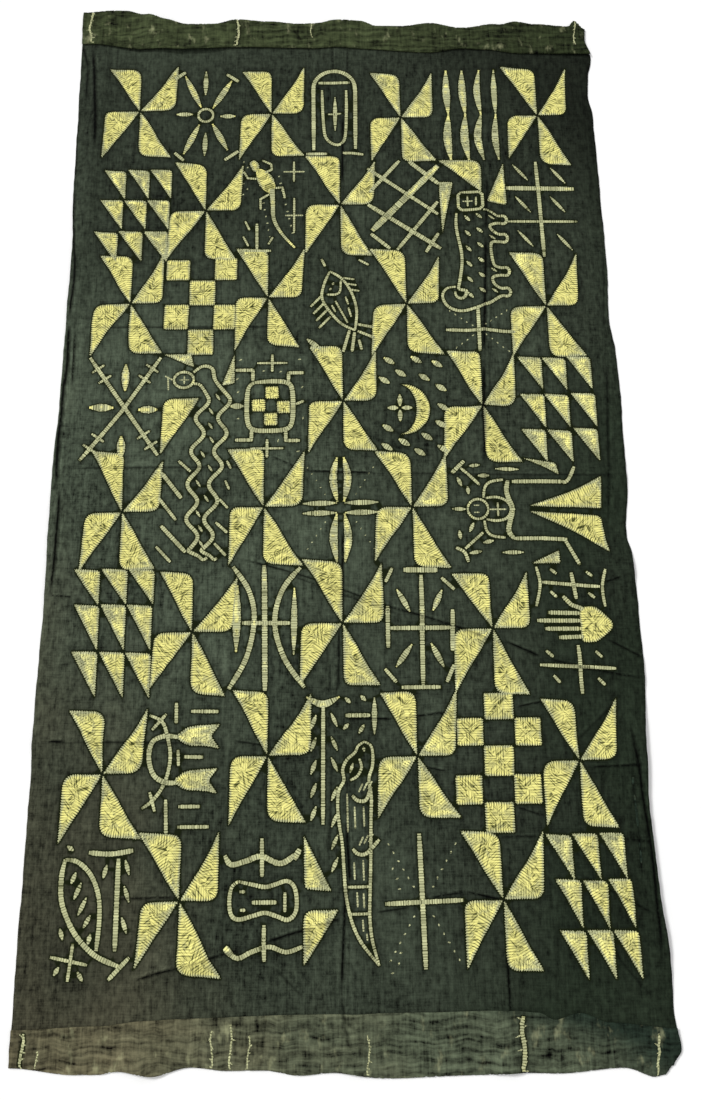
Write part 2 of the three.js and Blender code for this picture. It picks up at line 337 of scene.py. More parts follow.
class Cell:
    """One motif's place on the cloth. Its sizes run right and up from the cell's middle."""

    def __init__(self, row, column, right=0, up=0):
        self.x = (column - 4) * COLUMN_STEP + right
        self.y = ROWS[row] + up

    def spot(self, points):
        return [(self.x + x, self.y + y) for x, y in points]

    def bar(self, *points, wide=BAR, tone=0.62, shape="bar"):
        """A band between two rows of stitches, square at its ends, or drawn to a point."""
        wide = wide * (0.95 if shape == "petal" else DRAWN_IN) - 0.6
        line = stepped(self.spot(points), 3.6)
        if len(line) < 4:
            line = stepped(self.spot(points), 1.6)
        a = np.array(line)
        run = np.concatenate([[0], np.cumsum(np.hypot(*np.diff(a, axis=0).T))])
        share = run / run[-1]
        if shape == "petal":
            half = wide / 2 * np.maximum(np.sin(math.pi * share) ** 0.7, 0.25)
        elif shape == "tail":
            half = wide / 2 * (1 - 0.6 * share)
        else:
            half = wide / 2 * np.minimum(1, 0.7 + np.sin(math.pi * share))
        half = half * np.array([1 + hand.uniform(-0.07, 0.07) for _ in line])
        course = np.gradient(a, axis=0)
        course /= np.maximum(np.hypot(*course.T), 1e-9)[:, None]
        off = np.stack([-course[:, 1], course[:, 0]], 1) * half[:, None]
        tooth = np.array([TOOTH * 0.3 * (-1) ** k for k in range(len(line))])[:, None]
        off *= 1 + tooth / np.maximum(half, 1)[:, None]
        outline = np.concatenate([a + off, (a - off)[::-1]])
        stitched.append({"outline": outline, "line": a, "half": wide / 2, "tone": tone})

    def petal(self, *points, wide=13, tone=0.66):
        self.bar(*points, wide=wide, tone=tone, shape="petal")

    def curve(self, *points, wide=BAR, tone=0.62, shape="bar"):
        self.bar(*flowing(points), wide=wide, tone=tone, shape=shape)

    def dots(self, *points, long=6, wide=3.6, lean=40, tone=0.42):
        """Single stitches, each a pale grain."""
        for x, y in points:
            turn = math.radians(lean + hand.uniform(-35, 35))
            dx, dy = math.cos(turn) * long / 2, math.sin(turn) * long / 2
            self.bar((x - dx, y - dy), (x + dx, y + dy), wide=wide, tone=tone, shape="petal")

    def ring(self, x, y, rx, ry=None, wide=8, tone=0.62):
        for start in (0, 180):
            self.bar(*turned(x, y, rx, ry or rx, start, start + 180), wide=wide, tone=tone)

    def cross(self, x, y, up, across, wide=8):
        self.bar((x, y + up), (x, y - up), wide=wide)
        self.bar((x - across, y), (x + across, y), wide=wide * 0.8)

    def patch(self, *corners, tone=1.0):
        """An area filled with rows of stitches. Each corner is (x, y, radius of its rounding)."""
        outline = []
        for k, (x, y, radius) in enumerate(corners):
            before, after = corners[k - 1], corners[(k + 1) % len(corners)]
            legs = []
            for other in (before, after):
                reach = math.hypot(other[0] - x, other[1] - y)
                share = min(radius / reach, 0.45)
                legs.append((x + (other[0] - x) * share, y + (other[1] - y) * share))
            (ax, ay), (bx, by) = legs
            steps = 5 if radius > 2 else 1
            for s in range(steps + 1):
                t = s / steps
                outline.append((
                    (1 - t) ** 2 * ax + 2 * t * (1 - t) * x + t * t * bx,
                    (1 - t) ** 2 * ay + 2 * t * (1 - t) * y + t * t * by))
        line = stepped(self.spot(outline), 2.3, closed=True)
        a = np.array(line)
        course = np.roll(a, -1, 0) - np.roll(a, 1, 0)
        course /= np.maximum(np.hypot(*course.T), 1e-9)[:, None]
        tooth = np.array([TOOTH * (-1) ** k + hand.uniform(-0.3, 0.3) for k in range(len(a))])
        outward = np.stack([course[:, 1], -course[:, 0]], 1)
        closed = np.concatenate([a, a[:1]])
        sharp = self.spot([(x, y) for x, y, radius in corners if radius <= 1])
        stitched.append({
            "outline": a + outward * tooth[:, None], "line": closed[::2], "half": None,
            "tone": tone + hand.uniform(-0.12, 0.08), "tips": sharp})

    def sail(self, tip, corner, end, bow=0.0, tone=1.0):
        """A sail: two sharp ends, a well rounded corner, and a long edge that bows in a little."""
        hollow = []
        for share, deep in ((0.35, bow + hand.uniform(0.0, 0.04)),
                            (0.7, bow + hand.uniform(-0.04, 0.0))):
            x, y = [end[i] + (tip[i] - end[i]) * (1 - share) for i in (0, 1)]
            hollow.append((x + (corner[0] - x) * deep, y + (corner[1] - y) * deep, 30))
        loose = [c + hand.uniform(-1.5, 1.5) for c in corner]
        self.patch((*tip, 1), (*loose, hand.uniform(17, 27)), (*end, 1), *hollow[::-1], tone=tone)


# The pinwheels: four sails round a point, over and over, so that their tips meet. All are the
# same sail, loosely repeated: each comes out a little wider or narrower, taller or shorter, and
# its tip strays past its rounded corner. Row and column, how far right and up of its place.
SAIL_WIDE = 75
SAIL_HIGH = 119
SAIL_GAP = 1.0              # dyed cloth left between a sail and the wheel's middle lines
PINWHEELS = (
    ("A", 1, 0, 13), ("A", 3, 0, 4), ("A", 5, -7, -9), ("A", 7, 4, -7),
    ("B", 2, 7, -6), ("B", 4, 4, 6), ("C", 1, 2, 2), ("C", 3, -3, 14),
    ("C", 5, -5, -4), ("C", 7, -5, -12), ("D", 4, 7, 8), ("D", 6, -3, -8),
    ("E", 1, 7, -4), ("E", 3, -6, 4), ("E", 5, -5, 1), ("F", 2, 7, -5),
    ("F", 4, 2, 10), ("F", 6, -5, -5), ("G", 1, -4, -20), ("G", 3, 8, 11),
    ("G", 5, -8, 8), ("G", 7, -2, -3), ("H", 2, -1, 1), ("H", 6, -8, -2),
)
for row, column, right, up in PINWHEELS:
    wheel = Cell(row, column, right, up)
    gap = SAIL_GAP
    sails = [(SAIL_WIDE + hand.uniform(-7, 7), SAIL_HIGH + hand.uniform(-9, 9),
              hand.uniform(-2, 8)) for _ in range(4)]
    for turn, (w, h, stray) in ((1, sails[0]), (-1, sails[2])):
        wheel.sail((-turn * w, turn * (h + stray)), (-turn * gap, turn * h),
                   (-turn * gap, turn * 2 * gap))
    for turn, (w, h, stray) in ((1, sails[1]), (-1, sails[3])):
        wheel.sail((turn * (w + stray), turn * h), (turn * w, turn * gap),
                   (turn * 2 * gap, turn * gap), bow=0.02 + 0.02 * turn)

# Where an animal or a figure takes a pinwheel's place, single sails fill the corners left over.
big_cat_sails = Cell("B", 6)
big_cat_sails.sail((-77, 118), (19, 118), (18, 36))
big_cat_sails.patch((70, 108, 1), (29, 9, 3), (73, 3, 5), tone=0.9)
big_cat_sails.patch((-77, 62, 1), (-46, 61, 2), (-73, -66, 1), tone=0.9)
snake_sails = Cell("D", 2)
snake_sails.patch((-72, 118, 1), (-15, 118, 2), (-7, 88, 1), tone=0.85)
snake_sails.patch((79, 116, 1), (80, 50, 6), (54, 46, 1), tone=0.8)
snake_sails.sail((-72, -109), (-70, 14), (6, 17))
crocodile_sails = Cell("H", 4)
crocodile_sails.patch((-74, 114, 1), (-72, 20, 9), (-23, 16, 1), tone=0.85)
crocodile_sails.sail((-10, -17), (-74, -17), (-74, -112))


# The small sails: nine to a cell in three rows of three, all leaning one way.
def small_sails(row, column, *lines):
    """Each line of three: (left, top, step from sail to sail, height)."""
    cell = Cell(row, column)
    for left, top, step, high in lines:
        for k in range(3):
            x = left + k * step + hand.uniform(-2, 2)
            y = top + hand.uniform(-2, 2)
            cell.patch((x, y, 1), (x + step - 2, y - hand.uniform(0, 4), 9),
                       (x + step - 2, y - high + 2, 1), (x + 22, y - high * 0.42, 30), tone=0.92)


small_sails("B", 1, (-72, 100, 51, 77), (-80, 23, 53, 76), (-88, -57, 56, 77))
small_sails("D", 7, (-77, 105, 53, 78), (-74, 21, 53, 78), (-74, -60, 53, 75))
small_sails("F", 1, (-84, 125, 55, 76), (-78, 52, 53, 94), (-77, -43, 53, 92))
small_sails("H", 7, (-77, 112, 51, 84), (-63, 31, 49, 88), (-59, -56, 50, 86))


# The chequers: squares filled with stitches, every other one of a grid.
def chequers(row, column, squares):
    """squares: (left, top, wide, high) of each pale square."""
    cell = Cell(row, column)
    for left, top, wide, high in squares:
        right, low = left + wide, top - high
        cell.patch((left, top, 4), (right, top, 4), (right, low, 4), (left, low, 4), tone=0.92)


chequers("C", 2, (
    (-74, 106, 50, 48), (32, 110, 48, 52), (-22, 56, 55, 59), (-75, -2, 52, 60),
    (32, -3, 46, 60), (-22, -64, 54, 56),
))
chequers("G", 6, (
    (-28, 126, 56, 50), (-82, 78, 50, 51), (30, 78, 50, 52), (-32, 26, 56, 56),
    (-88, -29, 50, 53), (24, -28, 51, 54), (-34, -79, 54, 55),
))

# The sun: a ring with eight rays, and a short bar off each corner.
sun = Cell("A", 2)
sun.ring(0, 1, 17, wide=8)
for root, tip in (
    ((-2, 56), (-2, 120)), ((1, -46), (0, -106)), ((-30, 4), (-67, 4)), ((34, -2), (68, -2)),
):
    sun.petal(root, tip, wide=12)
for root, tip in (
    ((-11, 22), (-50, 107)), ((16, 20), (58, 94)), ((-14, -24), (-48, -102)),
    ((16, -22), (52, -92)),
):
    sun.petal(root, tip, wide=15, tone=0.8)
for start, stop in (
    ((-74, 97), (-50, 118)), ((46, 112), (74, 92)), ((-68, -98), (-47, -118)),
    ((46, -118), (77, -95)),
):
    sun.bar(start, stop, wide=10)

# The doorway: an arch on two footings with a smaller one hung inside it.
doorway = Cell("A", 4)
doorway.bar((-55, -94), (-56, 66), *turned(-8, 72, 48, 46, 172, 6), (41, 60), (40, -94), wide=12)
doorway.bar((-72, -104), (-24, -104), wide=9)
doorway.bar((11, -106), (58, -107), wide=9)
doorway.bar((-44, 86), (28, 85), wide=10)
doorway.curve((-36, 66), (-33, -20), (-26, -64), (0, -82), (16, -66), (20, 0), (20, 62), wide=9)
doorway.petal((-6, 46), (-6, -44), wide=10)
doorway.bar((-22, 1), (8, 0), wide=6)

# Four tall reeds, each drawn in at its middle.
reeds = Cell("A", 6)
for top, middle, low, belly, wide in (
    (-51, -49, -47, 1, 18), (-14, -10, -6, 1, 18), (26, 26, 28, 7, 16), (60, 60, 62, 1, 14),
):
    reeds.curve((top, 117), (top - belly, 60), (middle, -3), wide=wide, tone=0.66, shape="petal")
    reeds.curve((middle, -3), (middle - 3 - belly, -64), (low, -123), wide=wide + 2, tone=0.62,
                shape="petal")

# The lizard, head up, beside two crosses and a standing post.
lizard = Cell("B", 3)
lizard.patch((-50, 116, 6), (-38, 124, 6), (-27, 112, 6), (-28, 95, 4), (-40, 93, 5), tone=0.9)
lizard.curve((-32, 100), (-20, 84), (-6, 58), (4, 34), wide=38, tone=0.86, shape="petal")
lizard.curve((3, 48), (5, 10), (8, -30), (26, -66), (55, -101), wide=15, tone=0.78, shape="tail")
for limb in (
    ((-30, 74), (-52, 76), (-62, 94)), ((-14, 90), (2, 98), (0, 112), (-20, 122)),
    ((10, 50), (26, 52), (32, 24)), ((-4, 34), (-23, 22), (-22, -4)),
):
    lizard.bar(*limb, wide=7)
lizard.cross(52, 92, 26, 24, wide=6.5)
lizard.cross(53, -20, 44, 20, wide=6.5)
lizard.bar((-30, -40), (-29, -104), wide=9)
lizard.bar((-64, -108), (2, -108), wide=8)
for start, stop in (((-56, -34), (-46, -56)), ((-60, -72), (-48, -96)), ((6, -74), (-4, -92))):
    lizard.bar(start, stop, wide=6.5)
lizard.dots(*[(-62 + 9 * (k % 2), 118 - 14 * k) for k in range(7)], long=5)
lizard.dots(*[(-16 + 3 * k, 12 - 17 * k) for k in range(6)], long=5)
lizard.dots(*[(18 + 4 * k, 80 - 18 * k) for k in range(9)], long=6)

# The lattice: four long bars leaning one way, crossed by four leaning the other.
lattice = Cell("B", 5, -2)
for start, stop, wide in (
    ((-84, 99), (73, -20), 11), ((-84, 6), (76, -106), 13), ((11, 116), (76, 58), 13),
    ((-78, -68), (-36, -105), 11), ((-81, 36), (-11, 118), 11), ((-75, -60), (76, 104), 19),
    ((-20, -108), (73, 12), 11), ((43, -115), (72, -68), 10),
):
    lattice.bar(start, stop, wide=wide, tone=0.7)

# The big cat, walking down the cloth: an outline with a boxed face, four legs, a curled tail
# and slanting spots.
big_cat = Cell("B", 6)
big_cat.bar((-28, 35), (12, 35), (19, 28), (19, -3), (12, -10), (-28, -10), (-35, -3), (-35, 28),
            (-28, 35), wide=9, tone=0.8)
big_cat.cross(-14, 12, 13, 11, wide=6)
big_cat.bar((5, 22), (4, 0), wide=6)
back = [(-37 + 5 * math.sin(0.036 * y), y) for y in range(-18, -206, -17)]
big_cat.curve(*back, *turned(-38, -214, 12, 14, 20, -190, 10), wide=9, tone=0.75)
legs = [(20, -12)]
for foot in (-36, -82, -164, -214):
    legs += [(36, foot + 18), (50, foot + 9), *turned(62, foot, 9, 10, 80, -80, 4),
             (50, foot - 10), (33, foot - 17)]
big_cat.curve(*legs[:-1], (22, -243), (-8, -253), (-42, -258), (-68, -246), (-78, -222),
              (-68, -204), (-48, -200), wide=9, tone=0.75)
for k in range(6):
    big_cat.petal((-22, -24 - 38 * k), (-11, -38 - 38 * k), wide=8)
    big_cat.petal((3, -21 - 37 * k), (15, -34 - 37 * k), wide=8)
for y in (-30, -80, -160, -210):
    big_cat.petal((30, y + 2), (43, y - 6), wide=6)

# The double cross: a tall bar, two across it, and a short slanting bar in each space.
double_cross = Cell("B", 7)
double_cross.bar((-8, 112), (-5, 20), (-2, -128), wide=11)
double_cross.bar((-77, 45), (76, 41), wide=14, tone=0.75)
double_cross.bar((-78, -40), (78, -42), wide=8)
for x, y in ((-44, 85), (41, 76), (-42, 3), (36, 2), (-41, -83), (46, -93)):
    double_cross.petal((x - 16, y + 20), (x + 16, y - 20), wide=8)

# The bird, beak up, with feathers at each shoulder, two legs and a parted tail.
bird = Cell("C", 4)
bird.curve((-20, 76), (-34, 40), (-35, 4), (0, -46), (34, -66), wide=8)
bird.curve((-20, 76), (6, 58), (28, 22), (38, -20), (34, -66), wide=8)
bird.curve((4, 54), (2, 28), (-8, 20), (-27, 20), wide=7)
bird.dots((-13, 46), (-19, 33), long=7, wide=6)
for k in range(3):
    bird.bar((9 + 6 * k, 60 - 14 * k), (34 + 5 * k, 56 - 14 * k), wide=6)
for k in range(4):
    bird.bar((-37 + 6 * k, 18 - 17 * k), (-62 + 6 * k, -9 - 17 * k), wide=7)
for start, stop in (
    ((-8, 4), (18, -48)), ((-16, -6), (-8, -22)), ((14, 14), (20, -4)), ((20, -12), (26, -34)),
):
    bird.bar(start, stop, wide=6)
bird.bar((22, -66), (8, -116), wide=9)
bird.bar((33, -70), (27, -116), wide=9)
for start, stop in (((40, -52), (74, -59)), ((40, -68), (76, -84)), ((42, -88), (48, -112))):
    bird.bar(start, stop, wide=8)
bird.bar((-38, 106), (-30, 88), wide=8)
bird.bar((44, 104), (66, 91), wide=7)
bird.petal((-70, -86), (-40, -110), wide=12)

# The plain cross under the big cat, with a row of single stitches to each corner.
plain_cross = Cell("C", 6)
plain_cross.bar((-3, -16), (-3, -120), wide=10)
plain_cross.bar((-73, -67), (76, -73), wide=10)
for x, y in ((-1, 1), (1, 1), (-1, -1), (1, -1)):
    plain_cross.dots(*[(-2 + x * (14 + 12 * k), -70 + y * (12 + 9 * k)) for k in range(5)],
                     long=5, lean=50 * x * y)

# The crossed spears, barred near each end, with a petal in each space.
spears = Cell("D", 1)
spears.bar((-79, 112), (75, -110), wide=11)
spears.bar((73, 111), (-3, -9), (-86, -120), wide=11)
for x, y, lean in (
    (-60, 86, 1), (-44, 62, 1), (56, 86, -1), (40, 62, -1), (44, -64, 1), (60, -88, 1),
    (-52, -70, -1), (-68, -94, -1),
):
    spears.bar((x - 13, y - 9 * lean), (x + 13, y + 9 * lean), wide=7)
for start, stop in (
    ((-1, 96), (0, 35)), ((-74, -2), (-23, -3)), ((30, -8), (70, -8)), ((-3, -67), (-1, -116)),
):
    spears.petal(start, stop, wide=18, tone=0.7)

# The snake: two wavering outlines side by side from its head to its tail, with short bars down
# its middle and to each side.
snake = Cell("D", 2)
snake.ring(-28, 59, 21, 18, wide=8, tone=0.75)
snake.cross(-27, 59, 9, 10, wide=5)
snake.bar((-48, 57), (-68, 68), wide=5)
snake.bar((-62, 64), (-60, 36), wide=5)
sides = {"left": [(-6, 50), (8, 46)], "right": [(-8, 76), (12, 90), (32, 84), (40, 56)]}
for y in range(20, -336, -8):
    share = (20 - y) / 356
    spine = 39 - 34 * share + 14 * share**5 + 11 * math.cos(2 * math.pi * (y - 10) / 73.8)
    half = 22 + 14 * share - 25 * share**2
    sides["left"].append((spine - half, y))
    sides["right"].append((spine + half, y))
    if y % 32 == 20 and y > -320:
        snake.petal((spine - 5, y + 6), (spine + 4, y - 8), wide=6, tone=0.5)
snake.curve(*sides["left"][:-2], (14, -326), (24, -334), (32, -330), wide=10.5, tone=0.76)
snake.curve(*sides["right"][:-2], (38, -326), (46, -334), (52, -331), wide=10.5, tone=0.76)
for start, stop, wide in (
    ((-66, -150), (-24, -204), 11), ((-32, -124), (-6, -148), 8), ((-70, -204), (-34, -250), 9),
    ((-64, -262), (-12, -318), 11), ((-72, -306), (-42, -338), 8), ((48, -256), (72, -278), 8),
    ((46, -300), (70, -326), 8), ((54, -206), (72, -226), 7), ((66, -168), (74, -186), 7),
    ((68, -124), (77, -142), 7),
):
    snake.bar(start, stop, wide=wide)

# The turtle: a chequered shell, a head, a tail and four bent legs, a small cross at each end.
turtle = Cell("D", 3)
turtle.curve((-30, 51), (8, 54), (38, 51), (50, 38), (53, -4), (50, -42), (36, -55), (0, -58),
             (-30, -55), (-42, -40), (-45, -2), (-42, 38), (-30, 51), wide=13, tone=0.78)
for x, y in ((8, 28), (-20, -1), (33, -5), (6, -32)):
    turtle.patch((x - 14, y + 13, 4), (x + 13, y + 14, 4), (x + 14, y - 13, 4), (x - 13, y - 13, 4))
turtle.bar((-52, -2), (-80, -2), wide=14, tone=0.7, shape="petal")
turtle.bar((58, 1), (76, 9), wide=8)
for x, y, foot_x, foot_y in (
    (-33, 55, -70, 80), (43, 55, 76, 73), (-34, -57, -68, -78), (38, -57, 68, -80),
):
    turtle.bar((x, y), (x, foot_y), (foot_x, foot_y), wide=10, tone=0.7)
turtle.cross(8, 96, 20, 32)
turtle.cross(-1, -97, 20, 35)
turtle.dots((-60, 104), (-66, 60), (-64, 30), (72, 40), (66, 104), (-62, -30), (74, -30),
            (-62, -104), (64, -104), (-10, 78), (26, 76), (22, -80), long=7)

# The new moon with a four-petalled star in its arms, among slanting rain.
moon = Cell("D", 5)
outer = turned(-18, -12, 56, 56, 96, -98, 12)
inner = [(x - 27 * math.sin(math.pi * k / 12) ** 0.8, y) for k, (x, y) in enumerate(outer)]
moon.patch(*[(x, y, 2) for x, y in outer + inner[-2:0:-1]])
for angle in (0, 90, 180, 270):
    c, s = math.cos(math.radians(angle)), math.sin(math.radians(angle))
    moon.petal((-25 + 4 * c, -9 + 4 * s), (-25 + 26 * c, -9 + 30 * s), wide=11)
for x, y in (
    (-46, 99), (12, 101), (-22, 70), (-57, 54), (28, 60), (56, 91), (63, 36),
    (66, -8), (60, -46), (-52, -54), (-54, -96), (-18, -86), (14, -108), (30, -74), (63, -101),
):
    moon.petal((x - 11, y + 7), (x + 11, y - 7), wide=13, tone=0.66)

# The four-armed flower: a pair of long petals in each arm, stitches in its corners.
flower = Cell("E", 4)
for side in (-1, 1):
    flower.curve((side * 7, 110), (side * 15, 62), (side * 7, 14), wide=17, tone=0.74,
                 shape="petal")
    flower.curve((side * 8, -12), (side * 15, -62), (side * 8, -114), wide=17, tone=0.72,
                 shape="petal")
    for y in (11, -10):
        flower.petal((side * 8, y), (side * 78, y + side), wide=12, tone=0.72)
    for up in (-1, 1):
        flower.dots(*[(side * (32 + 9 * k), up * (30 + 14 * k)) for k in range(5)], long=4, wide=3,
                    tone=0.4)

# The dancer, lying head to the left across two cells: ringed head, open body, raised arms and
# bent legs, rays round the head and two long sails between the feet. The face is two stitches.
dancer = Cell("E", 6, -3)
dancer.ring(-19, -5, 21, 21, wide=7, tone=0.78)
dancer.bar((-27, 3), (-16, 3), wide=4)
dancer.bar((-27, -12), (-16, -12), wide=4)
dancer.curve((-2, 18), (20, 20), (40, 12), (49, -6), (40, -24), (20, -30), (-2, -27), wide=7.5,
             tone=0.75)
dancer.cross(22, -6, 14, 17, wide=6)
for up in (-1, 1):
    arm = [(-7, -5 + up * 24), (-3, -5 + up * 46), (9, -5 + up * 57), (34, -5 + up * 61)]
    dancer.curve(*arm, wide=7.5)
    dancer.bar((52, -8 + up * 60), (108, -8 + up * 60), (160, -10 + up * 61), wide=10.5, tone=0.7)
dancer.curve((44, 54), (41, 34), (46, 14), (52, -6), (46, -30), (42, -52), (52, -68), wide=13,
             tone=0.72)
dancer.curve((158, 48), (170, 56), (184, 84), wide=9.5)
dancer.bar((155, -71), (182, -124), wide=9.5)
for start, stop, wide in (
    ((-71, 71), (-44, 99), 11), ((-52, 82), (-14, 46), 8), ((-48, -88), (-10, -54), 8),
):
    dancer.bar(start, stop, wide=wide)
dancer.curve((-67, -86), (-50, -96), (-43, -116), wide=9)
for start, stop in (
    ((-34, 87), (-12, 89)), ((20, 80), (68, 78)), ((-17, 65), (6, 65)), ((-60, 62), (-51, 44)),
    ((-39, 43), (-37, 27)), ((-72, -4), (-44, -5)), ((-29, -34), (-38, -53)),
    ((-59, -50), (-57, -68)), ((-11, -76), (10, -72)), ((-40, -98), (-15, -94)),
    ((26, -97), (70, -97)),
):
    dancer.petal(start, stop, wide=9, tone=0.6)
dancer.patch((88, 1, 1), (236, -5, 3), (238, 62, 1), (180, 32, 60))
dancer.patch((88, -11, 1), (170, -50, 60), (246, -97, 1), (234, -22, 12))
dancer.patch((80, 104, 1), (118, 86, 30), (150, 66, 1), (146, 92, 7), tone=0.8)
dancer.patch((86, -120, 1), (142, -120, 2), (141, -94, 1), tone=0.8)

# The double bow: two bowed bars back to back on a straight one, a petal outside each.
double_bow = Cell("F", 3)
double_bow.bar((-3, 128), (1, -122), wide=14, tone=0.72)
double_bow.bar((-47, 12), (50, 11), wide=11, tone=0.7)
double_bow.curve((-66, 126), (-34, 78), (-22, 20), (-36, -56), (-70, -118), wide=13, tone=0.7)
double_bow.curve((70, 122), (32, 74), (19, 10), (38, -58), (78, -116), wide=13, tone=0.7)
double_bow.petal((-57, 88), (-57, -46), wide=17, tone=0.74)
double_bow.petal((58, 82), (57, -52), wide=13, tone=0.7)

# The barred cross: a cross with a bar over each of its four ends and short bars between.
barred_cross = Cell("F", 5, 2)
for start, stop, wide in (
    ((7, 106), (5, -114), 12), ((-28, 117), (40, 116), 14), ((-38, -118), (40, -118), 10),
    ((-57, -1), (62, -2), 11), ((-62, 42), (-62, -40), 11), ((67, 34), (65, -48), 11),
    ((-51, 121), (-65, 92), 9), ((-69, -82), (-47, -108), 9), ((48, 100), (73, 76), 9),
    ((67, -75), (52, -108), 10),
):
    barred_cross.bar(start, stop, wide=wide, tone=0.68)
for start, stop in (
    ((-43, 76), (-18, 30)), ((-15, -34), (-47, -78)), ((48, 75), (28, 32)), ((23, -32), (47, -79)),
):
    barred_cross.petal(start, stop, wide=12)

# The open hand, fingers to the left, between two crosses with curved side bars.
open_hand = Cell("F", 7)
open_hand.bar((-52, 89), (63, 78), wide=9)
open_hand.bar((8, 108), (15, 54), wide=10)
open_hand.curve((-62, 121), (-56, 84), (-66, 40), wide=8)
open_hand.curve((78, 114), (68, 78), (72, 38), wide=8)
for start, stop in (
    ((-34, 116), (-22, 106)), ((38, 110), (50, 100)), ((-36, 70), (-24, 58)), ((40, 66), (52, 56)),
):
    open_hand.bar(start, stop, wide=8)
open_hand.patch((20, 36, 6), (50, 40, 14), (84, 8, 10), (84, -6, 10), (48, -34, 14), (20, -32, 6))
for finger in (
    ((20, 25), (-44, 27)), ((21, 10), (-66, 11)), ((20, -6), (-52, -6)), ((24, -22), (-26, -24)),
    ((28, 33), (4, 42), (-12, 60)),
):
    open_hand.bar(*finger, wide=11, tone=0.8)
open_hand.bar((10, -40), (14, -134), wide=10)
open_hand.bar((-66, -77), (82, -86), wide=9)
for start, stop in (
    ((-54, -50), (-40, -62)), ((44, -52), (56, -64)), ((-40, -98), (-28, -112)),
    ((46, -104), (60, -118)),
):
    open_hand.bar(start, stop, wide=8)

# The ladle: a long bent line, an open loop hooked on it, and two notched tails.
ladle = Cell("G", 2)
ladle.curve((-12, 48), (-40, 50), (-62, 38), (-68, 8), (-58, -22), (-36, -36), (-10, -37), wide=12)
for x, y in ((0, 50), (-3, -33)):
    ladle.patch((x - 14, y + 2, 2), (x - 14, y - 4, 2), (x + 6, y - 18, 14), (x + 38, y - 18, 14),
                (x + 67, y - 24, 1), (x + 50, y, 5), (x + 67, y + 22, 1), (x + 38, y + 20, 14),
                (x + 6, y + 18, 14), tone=0.9)
ladle.curve((-70, 90), (-46, 78), (-34, 52), (-27, 18), (-31, -20), (-43, -50), (-61, -72),
            (-78, -84), wide=9)
for start, stop, wide in (
    ((-38, 92), (-64, 62), 8), ((-64, -54), (-53, -90), 8), ((-19, 114), (-18, 74), 9),
    ((-12, 24), (-11, -6), 8), ((-33, -68), (-30, -133), 9), ((10, 97), (64, 96), 9),
    ((0, 11), (36, 10), 9), ((-8, -81), (33, -81), 9), ((-9, -118), (50, -118), 9),
):
    ladle.bar(start, stop, wide=wide)

# The leafy staff under its cap, and the small T beside it.
staff = Cell("G", 4)
staff.curve((-70, 122), (-38, 108), (-5, 122), wide=15, tone=0.72, shape="petal")
staff.bar((-37, 106), (-38, -116), wide=10)
for y in (74, 32, -11, -54, -96):
    staff.petal((-51, y + 13), (-61, y - 13), wide=9, tone=0.6)
for y, lean in ((78, 1), (33, 1), (-6, 1), (-60, -1), (-108, -1), (-148, -1), (-188, -1)):
    staff.petal((-16 - 6 * lean, y + 13), (-16 + 6 * lean, y - 13), wide=8, tone=0.42)
staff.petal((63, 120), (62, 50), wide=11)
staff.bar((6, 86), (54, 86), wide=10)
for start, stop in (((6, 120), (16, 110)), ((36, 124), (46, 114)), ((2, 60), (12, 70)),
                    ((32, 52), (42, 68))):
    staff.petal(start, stop, wide=9)

# The crocodile, head up, hanging down two cells: a long outline, a loop for its jaw, two bent
# legs with their claws, bars across its tail and rows of stitches down its middle.
crocodile = Cell("G", 4)
left_side = ((42, 36), (30, 28), (24, 16), (8, 2), (0, -16), (2, -36), (-8, -56), (-10, -86),
             (-7, -118), (-2, -150), (1, -196), (4, -238), (9, -266), (18, -296), (34, -326),
             (64, -363))
right_side = ((42, 36), (54, 29), (58, 14), (57, -10), (50, -34), (54, -66), (53, -100),
              (52, -140), (51, -190), (49, -240), (48, -280), (52, -320), (64, -363))
for side in (left_side, right_side):
    crocodile.curve(*side, wide=8, tone=0.62)
crocodile.dots((41, 22), long=9, wide=7, lean=80)
crocodile.curve((32, 4), (36, -12), (28, -28), (14, -36), wide=7)
crocodile.petal((20, -4), (14, -22), wide=7)
for y, reach in ((-56, 54), (-152, 68)):
    crocodile.curve((18, y - 8), (28, y - 17), (44, y - 16), (reach, y + 8), wide=9, tone=0.7)
    for k in range(3):
        crocodile.bar((30 + 9 * k, y - 2 + 3 * k), (38 + 9 * k, y + 14 + 2 * k), wide=5)
for x, top, low in (
    (22, -84, -124), (39, -84, -120), (20, -184, -214), (37, -180, -216), (25, -236, -262),
    (37, -238, -264), (35, -284, -304), (42, -308, -320), (8, -60, -130),
):
    crocodile.bar((x, top), (x + 1, low), wide=5, tone=0.5)
for y in (-227, -274):
    crocodile.bar((8, y), (47, y), wide=7)
crocodile.dots((92, -196), (100, -214), (104, -232), (104, -342), (100, -360), (88, -376), long=6)

# The half leaf on its midrib, a comb-like T, and a small cross at its foot.
half_leaf = Cell("H", 1)
half_leaf.curve((-64, 76), (-69, 46), (-67, 6), (-53, -30), (-32, -62), (2, -92), (45, -110),
                wide=12, tone=0.74)
half_leaf.curve((-64, 76), (-40, 71), (-15, 48), (1, 12), (5, -30), (2, -83), wide=11, tone=0.7)
half_leaf.bar((27, -132), (63, -95), wide=10)
for start, stop in (
    ((-43, 53), (-51, 33)), ((-32, 35), (-44, 6)), ((-21, 9), (-35, -22)), ((-12, -22), (-24, -44)),
    ((-10, -54), (-14, -72)), ((14, 66), (8, 42)), ((48, 74), (56, 48)), ((48, 28), (58, 0)),
    ((46, -26), (56, -54)), ((-66, -44), (-60, -64)), ((-64, -110), (-72, -124)),
    ((-30, -118), (-20, -134)), ((-62, 100), (-50, 92)),
):
    half_leaf.petal(start, stop, wide=9, tone=0.6)
